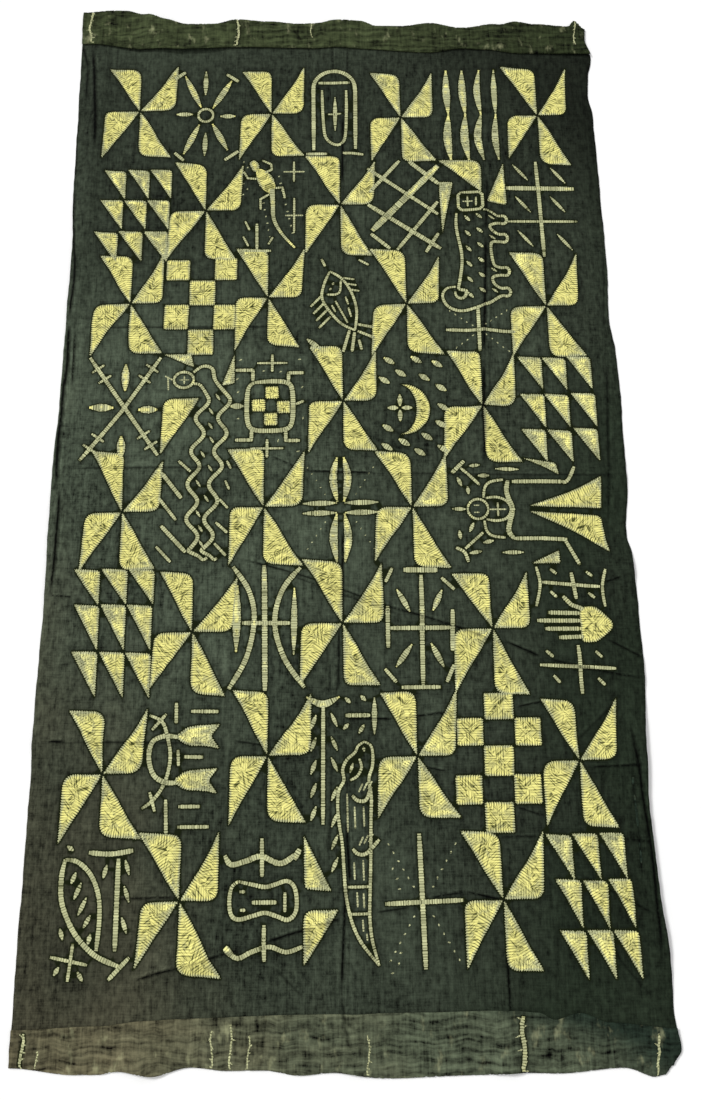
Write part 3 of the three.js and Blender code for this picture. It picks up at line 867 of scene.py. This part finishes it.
half_leaf.curve((-21, 88), (20, 85), (62, 91), wide=12, tone=0.72)
half_leaf.bar((35, 77), (36, -84), wide=12, tone=0.7)
half_leaf.bar((-41, -70), (-47, -134), wide=8)
half_leaf.bar((-80, -93), (-13, -107), wide=8)

# The drum: a waisted outline with its marks inside, between two wavy staves.
drum = Cell("H", 3, 2)
drum.curve((-72, 80), (-60, 64), (-32, 70), (-4, 78), (32, 65), (62, 82), wide=13, tone=0.7)
drum.bar((-3, 110), (-2, 42), wide=10)
drum.curve((-46, 34), (-58, 24), (-62, 0), (-58, -24), (-44, -32), (-18, -26), (4, -21), (26, -27),
           (46, -33), (60, -22), (63, 0), (58, 24), (44, 34), (22, 28), (4, 24), (-18, 28),
           (-46, 34), wide=10, tone=0.72)
drum.bar((-20, -3), (26, -3), wide=10)
for x, y in ((-38, 16), (-37, -16)):
    drum.bar((x - 5, y), (x + 5, y), wide=8)
drum.bar((41, 14), (41, -20), wide=8)
drum.bar((3, -42), (4, -104), wide=10)
drum.curve((-64, -84), (-44, -97), (-18, -86), (14, -78), (44, -88), (74, -79), wide=11, tone=0.7)
drum.bar((-68, -78), (-54, -92), wide=15, tone=0.72)
drum.bar((58, 72), (68, 90), wide=13, tone=0.72)

# The tall cross at the near end, with a row of single stitches to each corner.
tall_cross = Cell("H", 5)
tall_cross.bar((-9, 116), (-3, -120), wide=12)
tall_cross.bar((-75, -8), (70, -2), wide=11)
for x, y in ((-1, 1), (1, 1), (-1, -1), (1, -1)):
    tall_cross.dots(*[(-4 + x * (18 + 9 * k), -4 + y * (26 + 15 * k)) for k in range(6)],
                    long=5, lean=50 * x * y)

# What the bath left on the hems: cords tied round the pleated ends kept the dye off in ragged
# feathered lines across each hem: (place across, width, share of the hem that it covers, side
# that its feathers lean to, paleness).
tied_lines = []


def feathered_line(outward, x, wide, cover, lean, tone):
    near_end, far_end, near_hem, far_hem = [float(place) for place in end_places(x)]
    first = (far_end if outward > 0 else -near_end) + TURN + 1.5
    high = ((far_hem if outward > 0 else near_hem) - 4) * cover
    drawn = Cell("D", 4, x, -ROWS["D"])
    count = len(stitched)
    spine = [(2 * math.sin(0.09 * t + x) + hand.uniform(-0.8, 0.8), outward * (first + t))
             for t in range(0, int(high), 6)]
    drawn.bar(*spine, wide=wide * 0.8, tone=tone)
    for px, pv in spine[::2]:
        side = lean if hand.random() < 0.75 else -lean
        reach = wide * hand.uniform(0.4, 1.1)
        drawn.petal((px, pv), (px + side * reach, pv + hand.uniform(-5, 6)), wide=3.2,
                    tone=tone * hand.uniform(0.3, 0.6))
    tied_lines.extend(stitched[count:])
    del stitched[count:]


for line in (
    (-1, -574, 8, 1.0, 1, 0.55), (-1, -548, 4, 0.6, 1, 0.3), (-1, -238, 5, 0.8, -1, 0.3),
    (-1, -204, 6, 0.9, 1, 0.34), (-1, -172, 5, 0.7, 1, 0.3), (-1, 42, 5, 0.7, 1, 0.4),
    (-1, 319, 13, 1.0, 1, 0.8), (-1, 560, 7, 0.95, -1, 0.6),
    (1, -577, 7, 1.0, 1, 0.62), (1, -234, 8, 1.0, -1, 0.5), (1, -60, 4, 0.6, 1, 0.3),
    (1, 566, 5, 0.75, -1, 0.6),
):
    feathered_line(*line)


# The cloth's surface: one thin sheet, its face and its back, netted so that every stitched
# edge is an edge of the net. The net is drawn flat and then laid on the folds.
def cloth_rim():
    """The cut edge of the flat cloth, anticlockwise, closer together round the hems' turns."""
    def stations(x):
        near_end, far_end, near_hem, far_hem = end_places(x)
        near_cut, far_cut = near_end - TURN - near_hem, far_end + TURN + far_hem
        parts = [np.linspace(near_cut, near_end - TURN, 14, endpoint=False)]
        parts.append(np.linspace(near_end - TURN, near_end, 5, endpoint=False))
        parts.append(np.linspace(near_end, far_end, 360, endpoint=False))
        parts.append(np.linspace(far_end, far_end + TURN, 5, endpoint=False))
        parts.append(np.linspace(far_end + TURN, far_cut, 15))
        return np.concatenate(parts)

    half = WIDTH / 2
    across = np.linspace(-half, half, 200)
    up_right = [(half, v) for v in stations(half)]
    up_left = [(-half, v) for v in stations(-half)]
    near_end, far_end, near_hem, far_hem = end_places(across)
    near = list(zip(across, near_end - TURN - near_hem))
    far = list(zip(across, far_end + TURN + far_hem))
    return near[:-1] + up_right[:-1] + far[::-1][:-1] + up_left[::-1][:-1]


def turn_rows():
    """Points along the turn of each hem, so that it bends smoothly."""
    points = []
    for x in np.linspace(-WIDTH / 2, WIDTH / 2, 200)[1:-1]:
        near_end, far_end, _, _ = end_places(x)
        for k in range(6):
            points += [(x, far_end + TURN * k / 5), (x, near_end - TURN * k / 5)]
    return points


def crease_rows():
    """Points along each crease, at its line and to each side of it."""
    points = []
    for x0, y0, x1, y1, bow, spread, _ in CREASES:
        run = math.hypot(x1 - x0, y1 - y0)
        nx, ny = -(y1 - y0) / run, (x1 - x0) / run
        count = round(run / 8)
        for k in range(count + 1):
            t = k / count
            for side in (-1, -0.45, -0.15, 0.15, 0.45, 1, 1.5):
                off = bow * math.sin(math.pi * t) + side * spread
                points.append((x0 + (x1 - x0) * t + nx * off, y0 + (y1 - y0) * t + ny * off))
    return points


def open_ground(step, low, high):
    """A loose even scatter of points over the flat cloth between two places along it."""
    points = []
    rows = math.ceil((high - low) / (step * 0.87))
    for j in range(rows):
        y = low + j * step * 0.87
        shift = step / 2 * (j % 2)
        for i in range(math.ceil(WIDTH / step)):
            x = -WIDTH / 2 + shift + i * step + hand.uniform(-0.2, 0.2) * step
            points.append((x, y + hand.uniform(-0.2, 0.2) * step))
    return points


def within(outline, points):
    """Which points lie inside a closed outline."""
    x, y = points.T
    inside = np.zeros(len(points), bool)
    ring = np.roll(outline, -1, 0)
    for (x0, y0), (x1, y1) in zip(outline, ring):
        if y0 == y1:
            continue
        crosses = (y0 > y) != (y1 > y)
        inside ^= crosses & (x < (x1 - x0) * (y - y0) / (y1 - y0) + x0)
    return inside


def net(rim, shapes, fillers):
    """The flat net: its points, its triangles, and the first rim points' places in it."""
    points = [tuple(p) for p in rim]
    count = len(points)
    edges = [(k, (k + 1) % count) for k in range(count)]
    for shape in shapes:
        first = len(points)
        size = len(shape["outline"])
        points += [tuple(p) for p in shape["outline"]]
        edges += [(first + k, first + (k + 1) % size) for k in range(size)]
    held = KDTree(len(points))
    for k, (x, y) in enumerate(points):
        held.insert((x, y, 0), k)
    held.balance()
    outer = np.array(rim)
    for group, apart in fillers:
        for (x, y), inside in zip(group, within(outer, np.array(group))):
            if inside and held.find((x, y, 0))[2] >= apart:
                points.append((x, y))
    made = delaunay_2d_cdt([Vector(p) for p in points], edges, [], 0, 1e-4, True)
    spots = np.array([(v.x, v.y) for v in made[0]])
    triangles = np.array([list(f) for f in made[2]])
    triangles = triangles[within(outer, spots[triangles].mean(1))]
    place_of = {k: new for new, old in enumerate(made[3]) for k in old}
    return spots, triangles, [place_of[k] for k in range(count)]


def measured(shape, middles, corners):
    """How far along a shape's stitched line each corner of a triangle is, and how deep inside
    its edge, both from the stretch of the line that is nearest to the triangle's middle."""
    line = shape["line"]
    a, b = line[:-1], line[1:]
    course = b - a
    size = np.maximum(np.hypot(*course.T), 1e-9)
    rel = middles[:, None, :] - a[None]
    share = np.clip((rel * course).sum(2) / size**2, 0, 1)
    best = np.hypot(*(rel - share[..., None] * course).transpose(2, 0, 1)).argmin(1)
    course = (course / size[:, None])[best][:, None]
    begins = np.concatenate([[0], np.cumsum(size)])[best][:, None]
    rel = corners - a[best][:, None]
    run = begins + (rel * course).sum(2)
    deep = np.abs(course[..., 0] * rel[..., 1] - course[..., 1] * rel[..., 0])
    return run, deep if shape["half"] is None else shape["half"] - deep


def stitch_marks(spots, triangles, shapes):
    """Per corner of the net: along the stitching, in from its edge, and how pale it is, 0 in
    the dyed ground."""
    marks = np.zeros((len(triangles), 3, 3))
    middles = spots[triangles].mean(1)
    order = np.argsort(middles[:, 1])
    heights = middles[order, 1]
    for number, shape in enumerate(shapes):
        low, high = shape["outline"].min(0), shape["outline"].max(0)
        band = order[np.searchsorted(heights, low[1]):np.searchsorted(heights, high[1])]
        band = band[(middles[band, 0] > low[0]) & (middles[band, 0] < high[0])]
        chosen = band[within(shape["outline"], middles[band])]
        if not len(chosen):
            continue
        corners = spots[triangles[chosen]]
        run, deep = measured(shape, middles[chosen], corners)
        tone = np.full(run.shape, shape["tone"])
        if shape["half"] is not None:
            ends = np.minimum(np.hypot(*(corners - shape["line"][0]).transpose(2, 0, 1)),
                              np.hypot(*(corners - shape["line"][-1]).transpose(2, 0, 1)))
            tone = tone + 0.1 * np.clip(1 - ends / 4, 0, 1)
        elif shape["tips"]:
            tips = np.array(shape["tips"])
            near = np.hypot(*(corners[:, :, None] - tips).transpose(3, 0, 1, 2)).min(2)
            tone = tone - 0.55 * np.exp(-near / 26)
        marks[chosen] = np.stack([run + 37 * number, deep, tone], 2)
    return marks


NEAR_ROOM, FAR_ROOM = 130, 150      # past each end, more than its hem takes of the cloth
rim = cloth_rim()
near_cut, far_cut = -LENGTH / 2 - NEAR_ROOM, LENGTH / 2 + FAR_ROOM
face_fill = [(turn_rows(), 2), (crease_rows(), 2.5), (open_ground(9.5, near_cut, far_cut), 4)]
back_fill = [
    (turn_rows(), 2),
    (open_ground(24, -LENGTH / 2 + 20, LENGTH / 2 - 30), 6),
    (open_ground(8, near_cut, -LENGTH / 2 - 4), 3),
    (open_ground(8, LENGTH / 2 - 26, far_cut), 3),
]
face_flat, face_triangles, face_rim = net(rim, stitched, face_fill)
back_flat, back_triangles, back_rim = net(rim, tied_lines, back_fill)
face_marks = stitch_marks(face_flat, face_triangles, stitched)
back_marks = stitch_marks(back_flat, back_triangles, tied_lines)

room = np.concatenate([laid(*face_flat.T, -1), laid(*back_flat.T, 1)])
middle = (room.min(0) + room.max(0)) / 2
shift = np.array([-middle[0], -middle[1], 0.0])
room = (room + shift) * MM
first_back = len(face_flat)
count = len(rim)
rim_quads = [
    (face_rim[k], first_back + back_rim[k], first_back + back_rim[(k + 1) % count],
     face_rim[(k + 1) % count])
    for k in range(count)
]
faces = face_triangles.tolist() + (back_triangles[:, ::-1] + first_back).tolist() + rim_quads
cloth_mesh = bpy.data.meshes.new("tie_dye_cloth")
cloth_mesh.from_pydata(room.tolist(), [], faces)
cloth_mesh.polygons.foreach_set("use_smooth", [True] * len(faces))
marks = cloth_mesh.attributes.new("stitch", "FLOAT_VECTOR", "CORNER")
corner_marks = np.concatenate([
    face_marks.reshape(-1), back_marks[:, ::-1].reshape(-1), np.zeros(len(rim_quads) * 12)])
marks.data.foreach_set("vector", corner_marks.astype(np.float32))


def from_stitches(spots, shapes):
    """How far each point is from the nearest edge that is drawn up tight, up to 30 mm."""
    edge = [point for shape in shapes if shape["half"] is None or shape["half"] > 2
            for point in shape["outline"]]
    tree = KDTree(len(edge))
    for k, (x, y) in enumerate(edge):
        tree.insert((x, y, 0), k)
    tree.balance()
    return [min(tree.find((x, y, 0))[2], 30.0) for x, y in spots]


# The flat net is also the map that the finished colours are laid out on, face beside back.
flat_map = cloth_mesh.uv_layers.new(name="OFBake")
MAP_SIDE = 2460             # side of the square map, a little more than the flat cloth's length
FACE_AT, BACK_AT = (0.25, 0.5), (0.745, 0.5)
face_places = face_flat[face_triangles].reshape(-1, 2) / MAP_SIDE + FACE_AT
back_places = back_flat[back_triangles[:, ::-1]].reshape(-1, 2) / MAP_SIDE + BACK_AT
rim_places = np.array([face_flat[face_rim[j % count]] for k in range(count)
                       for j in (k, k, k + 1, k + 1)]) / MAP_SIDE + FACE_AT
flat_map.data.foreach_set(
    "uv", np.concatenate([face_places, back_places, rim_places]).astype(np.float32).ravel())
from_edge = cloth_mesh.attributes.new("from_stitches", "FLOAT", "POINT")
from_edge.data.foreach_set(
    "value", from_stitches(face_flat, stitched) + from_stitches(back_flat, tied_lines))
# Painted light of the creases, per point: painted shade along each crease, a painted highlight
# beside it.
painted_crease_light = cloth_mesh.attributes.new("painted_crease_light", "FLOAT", "POINT")
painted_crease_light.data.foreach_set("value", np.concatenate([
    painted_crease_light_at(x, hem_run(x, v)[1]) for x, v in (face_flat.T, back_flat.T)]).astype(np.float32))
cloth = bpy.data.objects.new("tie_dye_cloth", cloth_mesh)
bpy.context.scene.collection.objects.link(cloth)


# The dye: a dark green-black bath over pale yellow-green cotton. It took unevenly, browner
# towards the near left and blacker on the right, in fine streaks along the threads.
class Tone:
    """A value in a material. Sums and products of values add its Math nodes."""

    def __init__(self, bath, socket):
        self.bath = bath
        self.socket = socket

    def _math(self, operation, a, b=0.0):
        return self.bath.node("ShaderNodeMath", {"operation": operation}, {0: a, 1: b})

    def __add__(self, other):
        return self._math("ADD", self, other)

    def __radd__(self, other):
        return self._math("ADD", other, self)

    def __sub__(self, other):
        return self._math("SUBTRACT", self, other)

    def __rsub__(self, other):
        return self._math("SUBTRACT", other, self)

    def __mul__(self, other):
        return self._math("MULTIPLY", self, other)

    def __rmul__(self, other):
        return self._math("MULTIPLY", other, self)

    def sine(self):
        return self._math("SINE", self)

    def rising(self, low, high):
        """0 below low, 1 above high, and smooth between."""
        return self.bath.node(
            "ShaderNodeMapRange", {"interpolation_type": "SMOOTHSTEP"},
            {"Value": self, "From Min": low, "From Max": high})


class Bath:
    """One material, with its nodes made by one method."""

    def __init__(self, name):
        self.material = bpy.data.materials.new(name)
        self.material.use_nodes = True
        self.tree = self.material.node_tree
        self.shader = self.tree.nodes["Principled BSDF"]

    def node(self, kind, settings, values, output=0):
        """A node of that type: its settings first, then the values or links of its sockets."""
        made = self.tree.nodes.new(kind)
        for name, value in settings.items():
            setattr(made, name, value)
        for name, value in values.items():
            self.feed(made.inputs[name], value)
        return Tone(self, made.outputs[output])

    def feed(self, socket, value):
        if isinstance(value, Tone):
            self.tree.links.new(value.socket, socket)
        else:
            socket.default_value = value

    def parts(self, place):
        """The three values of a vector."""
        split = self.node("ShaderNodeSeparateXYZ", {}, {0: place}).socket.node
        return [Tone(self, output) for output in split.outputs]

    def mix(self, factor, a, b, blend="MIX"):
        """A colour between a and b."""
        return self.node(
            "ShaderNodeMix", {"data_type": "RGBA", "blend_type": blend},
            {0: factor, 6: a, 7: b}, output=2)

    def lit(self, colour, light):
        """A colour made lighter or darker."""
        grey = self.node("ShaderNodeCombineColor", {}, {0: light, 1: light, 2: light})
        return self.mix(1.0, colour, grey, "MULTIPLY")

    def stretched(self, place, scale, detail=2.0, rough=0.5, lean=0):
        """Noise over a place, drawn out by a scale along each of its directions, turned by lean
        degrees first."""
        if lean:
            place = self.node("ShaderNodeVectorRotate", {"rotation_type": "Z_AXIS"},
                              {"Vector": place, "Angle": math.radians(lean)})
        drawn = self.node("ShaderNodeVectorMath", {"operation": "MULTIPLY"}, {0: place, 1: scale})
        return self.node(
            "ShaderNodeTexNoise", {},
            {"Vector": drawn, "Scale": 1.0, "Detail": detail, "Roughness": rough})


def shade(red, green, blue):
    """A colour as a screen shows it, 0 to 255, as a shader's colour."""
    return (*[((c / 255 + 0.055) / 1.055) ** 2.4 if c > 10 else c / 3294
              for c in (red, green, blue)], 1.0)


DYED_GREEN = shade(51, 58, 47)
DYED_BROWN = shade(60, 58, 45)
DYED_BLACK = shade(14, 26, 14)
HALO_BLACK = shade(25, 31, 12)
RAW_YELLOW = shade(246, 239, 146)
RAW_GREY = shade(188, 190, 146)
RAW_WHITE = shade(236, 234, 200)
DASH_OLIVE = shade(62, 66, 30)


def dyed_ground(bath, place):
    """The dyed cotton's colour, and the relief of its threads: palest left of the middle,
    darkest at the far right corner and down the right."""
    x, y, _ = bath.parts(place)
    clouds = bath.stretched(place, (3, 2.4, 1), 3.0)
    mottle = bath.stretched(place, (85, 60, 1), 5.0, 0.7)
    streaks = bath.stretched(place, (120, 9, 1), 4.0, 0.65)
    warp = bath.stretched(place, (420, 40, 1), 1.0)
    weft = bath.stretched(place, (30, 380, 1), 1.0)
    brown = (x * -0.8 + y * -0.45 + clouds * 0.8).rising(0.75, 1.45)
    black = (x * 1.2 + y * -0.25 + clouds * 0.8).rising(0.8, 1.25) * 0.62
    colour = bath.mix(black, bath.mix(brown, DYED_GREEN, DYED_BROWN), DYED_BLACK)
    from_left, from_middle = x + 0.38, y + 0.06
    region = (from_left * from_left * 1.5 + from_middle * from_middle).rising(0.38, 0.0) * 0.5
    region = region - y.rising(0.2, 0.75) * 0.28 - (x + y).rising(1.05, 1.45) * 0.48
    region = region - (x - y * 0.3).rising(0.2, 0.6) * 0.27
    light = (clouds - 0.5) * 1.7 + (mottle - 0.5) * 3.0 + (streaks - 0.5) * 1.7
    colour = bath.lit(colour, 1.06 + region)
    colour = bath.lit(colour, 1.0 + light + (warp - 0.5) * 0.9 + (weft - 0.5) * 0.8)
    return colour, streaks * 0.4 + weft * 0.3 + warp * 0.3


def stitched_face(bath, ground, relief):
    """Pale cotton where the stitches held: row behind row of dyed dashes square to its edge,
    stronger near the edge, and long dashes across them. The bath stands darkest beside it."""
    stitch = bath.node("ShaderNodeAttribute", {"attribute_name": "stitch"}, {}, output=1)
    away = bath.node("ShaderNodeAttribute", {"attribute_name": "from_stitches"}, {}, output=2)
    crease = bath.node("ShaderNodeAttribute", {"attribute_name": "painted_crease_light"}, {}, output=2)
    run, deep, pale = bath.parts(stitch)
    held = pale.rising(0.02, 0.1)
    filled = pale.rising(0.72, 0.88)
    patches = bath.stretched(stitch, (0.035, 0.06, 0), 2.0)
    waver = bath.stretched(stitch, (0.03, 0.02, 0), 1.0)
    uneven = bath.stretched(stitch, (0.16, 0.02, 0), 0.0)
    flecks = bath.stretched(stitch, (0.36, 0.36, 0), 1.0)
    turning = bath.stretched(stitch, (0.04, 0.04, 3), 0.0)
    inside = deep.rising(3, 10) * filled
    thin = 1.0 - filled
    comb = (run * (2 * math.pi / STITCH) + waver * 3.0 + uneven * 4.0).sine()
    square = bath.stretched(stitch, (0.36, 0.025, 0), 1.0).rising(0.5, 0.62)
    slant = bath.stretched(stitch, (0.38, 0.022, 0), 1.0, lean=42).rising(0.5, 0.61)
    counter = bath.stretched(stitch, (0.38, 0.022, 0), 1.0, lean=-48).rising(0.5, 0.61)
    dark = (comb * 0.5 + 0.5).rising(0.45, 0.95) * (0.9 - thin * 0.4 - inside * 0.55)
    dark = dark + (flecks - 0.5).rising(0.03, 0.16) * thin * 0.7 + square * inside * 0.4
    leaning = (turning - 0.45).rising(0.0, 0.1) * inside
    other = (0.55 - turning).rising(0.0, 0.1) * inside
    dark = dark + slant * leaning * 0.62 + counter * other * 0.62
    rim_grey = (1.0 - deep.rising(1.0, 6.0)) * 0.8
    raw = bath.mix((pale - 0.5) * 2.4 + (patches - 0.5) * 2.4 - rim_grey, RAW_GREY, RAW_YELLOW)
    raw = bath.mix((pale - 1.1) * 3.0, raw, RAW_WHITE)
    raw = bath.lit(raw, 0.62 + patches * 0.5 + pale * 0.13 + thin * (0.1 + (patches - 0.5) * 1.4))
    raw = bath.mix(dark, raw, DASH_OLIVE)
    ground = bath.mix(0.95 - away.rising(0.8, 4.2) * 0.95, ground, HALO_BLACK)
    ground = bath.lit(ground, 0.82 + away.rising(0.0, 20.0) * 0.32)
    colour = bath.mix(held, ground, raw)
    # Painted shade along the creases and a painted highlight beside them, weaker on the pale
    # stitched cotton.
    colour = bath.lit(colour, 1.0 + crease * (0.64 - held * 0.3))
    return colour, relief + held * (comb * -0.25)


def finish_bath(bath, colour, relief):
    """Dull dry cotton of that colour, raised by that relief."""
    bath.feed(bath.shader.inputs["Base Color"], colour)
    bump = bath.node("ShaderNodeBump", {}, {"Strength": 0.5, "Distance": 0.0008, "Height": relief})
    bath.feed(bath.shader.inputs["Normal"], bump)
    bath.shader.inputs["Roughness"].default_value = 0.9
    bath.shader.inputs["Specular IOR Level"].default_value = 0.05


face_bath = Bath("dyed_face")
face_place = face_bath.node("ShaderNodeTexCoord", {}, {}, output=3)
face_colour, face_relief = stitched_face(face_bath, *dyed_ground(face_bath, face_place))
finish_bath(face_bath, face_colour, face_relief)


# The hems show the cloth's back, where the bundled ends took less dye: paler and browner to the
# left, in wavering streaks along the hem like wood grain, over fine streaks along the threads.
HEM_BROWN = shade(86, 81, 61)
HEM_GREEN = shade(69, 76, 60)
HEM_DARK = shade(30, 40, 32)
FAR_GREEN = shade(50, 57, 36)
FAR_DARK = shade(24, 31, 16)
hem_bath = Bath("dyed_back")
hem_place = hem_bath.node("ShaderNodeTexCoord", {}, {}, output=3)
hem_x, hem_y, hem_z = hem_bath.parts(hem_place)
hem_clouds = hem_bath.stretched(hem_place, (4, 9, 1), 3.0)
hem_waver = hem_bath.stretched(hem_place, (16, 10, 1), 2.0)
grain_place = hem_bath.node(
    "ShaderNodeCombineXYZ", {}, {0: hem_x, 1: hem_y + hem_waver * 0.03, 2: hem_z})
grain = hem_bath.stretched(grain_place, (9, 120, 1), 4.0, 0.6)
hem_threads = hem_bath.stretched(hem_place, (170, 14, 1), 4.0, 0.65)
hem_mottle = hem_bath.stretched(hem_place, (50, 60, 1), 4.0, 0.65)
smudges = hem_bath.stretched(hem_place, (40, 22, 1), 3.0, 0.6).rising(0.56, 0.8)
browner = (hem_x * -0.8 + hem_clouds * 0.8).rising(0.2, 1.0)
darker = (hem_x + hem_y * 2.5 + hem_clouds * 0.5).rising(-2.15, -1.9)
near_colour = hem_bath.mix(darker, hem_bath.mix(browner, HEM_GREEN, HEM_BROWN), HEM_DARK)
far_dark = (hem_x + hem_clouds * 0.6).rising(0.35, 0.9) * 0.6
far_colour = hem_bath.mix(far_dark, FAR_GREEN, FAR_DARK)
hem_colour = hem_bath.mix(hem_y.rising(-0.5, 0.5), near_colour, far_colour)
hem_light = (grain - 0.5) * 3.4 + (hem_threads - 0.5) * 2.2 + (hem_mottle - 0.5) * 3.0
hem_colour = hem_bath.lit(hem_colour, 1.0 + hem_light + (hem_clouds - 0.5) * 1.4)
hem_colour = hem_bath.mix(smudges * 0.4, hem_colour, RAW_GREY)
hem_colour, hem_relief = stitched_face(hem_bath, hem_colour, grain)
finish_bath(hem_bath, hem_colour, hem_relief)

cloth_mesh.materials.append(face_bath.material)
cloth_mesh.materials.append(hem_bath.material)
back_faces = len(faces) - len(face_triangles)
cloth_mesh.polygons.foreach_set("material_index", [0] * len(face_triangles) + [1] * back_faces)
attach(cloth, "root")
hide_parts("cloth")

# The floor that the cloth lies on: plain and pale, wide enough to fill the view.
FLOOR = 12.0                # metres from the cloth's middle to each side
floor_mesh = bpy.data.meshes.new("floor")
floor_mesh.from_pydata(
    [(-FLOOR, -FLOOR, 0), (FLOOR, -FLOOR, 0), (FLOOR, FLOOR, 0), (-FLOOR, FLOOR, 0)],
    [], [(0, 1, 2, 3)])
floor = bpy.data.objects.new("floor", floor_mesh)
bpy.context.scene.collection.objects.link(floor)
floor_bath = Bath("pale_floor")
floor_place = floor_bath.node("ShaderNodeTexCoord", {}, {}, output=3)
floor_grain = floor_bath.stretched(floor_place, (40, 40, 40), 3.0)
floor_bath.feed(
    floor_bath.shader.inputs["Base Color"],
    floor_bath.mix(floor_grain, shade(250, 250, 249), shade(254, 254, 254)))
floor_bath.shader.inputs["Roughness"].default_value = 0.9
floor_mesh.materials.append(floor_bath.material)

bpy.context.scene.view_settings.view_transform = "Standard"

# The light: pale walls all round, and one broad soft lamp from the far left.
world = bpy.data.worlds.new("pale_room")
world.use_nodes = True
world.node_tree.nodes["Background"].inputs["Color"].default_value = (1, 1, 1, 1)
world.node_tree.nodes["Background"].inputs["Strength"].default_value = 0.66
bpy.context.scene.world = world
lamp_light = bpy.data.lights.new("soft_lamp", "SUN")
lamp_light.energy = 2.1
lamp_light.angle = math.radians(14)
soft_lamp = bpy.data.objects.new("soft_lamp", lamp_light)
soft_lamp.rotation_euler = (-Vector((-1.0, 0.75, 0.95))).to_track_quat("-Z", "Y").to_euler()
bpy.context.scene.collection.objects.link(soft_lamp)

# The camera: held above the near end, looking down at 77 degrees towards the far end.
CAMERA_HEIGHT = 1.707
CAMERA_PLACE = (16.2, -575.0)       # from the middle of the cloth, across and along
CAMERA_TILT = 13.3                  # degrees off straight down
CAMERA_TURN = -0.58
LENS = 863 / 1100 * 36
camera_data = bpy.data.cameras.new("camera")
camera_data.sensor_width = 36
camera_data.sensor_fit = "AUTO"
camera_data.lens = LENS
camera = bpy.data.objects.new("camera", camera_data)
camera.location = (
    (CAMERA_PLACE[0] + shift[0]) * MM, (CAMERA_PLACE[1] + shift[1]) * MM, CAMERA_HEIGHT)
camera.rotation_euler = (math.radians(CAMERA_TILT), 0, math.radians(CAMERA_TURN))
bpy.context.scene.collection.objects.link(camera)
bpy.context.scene.camera = camera

bpy.context.view_layer.update()
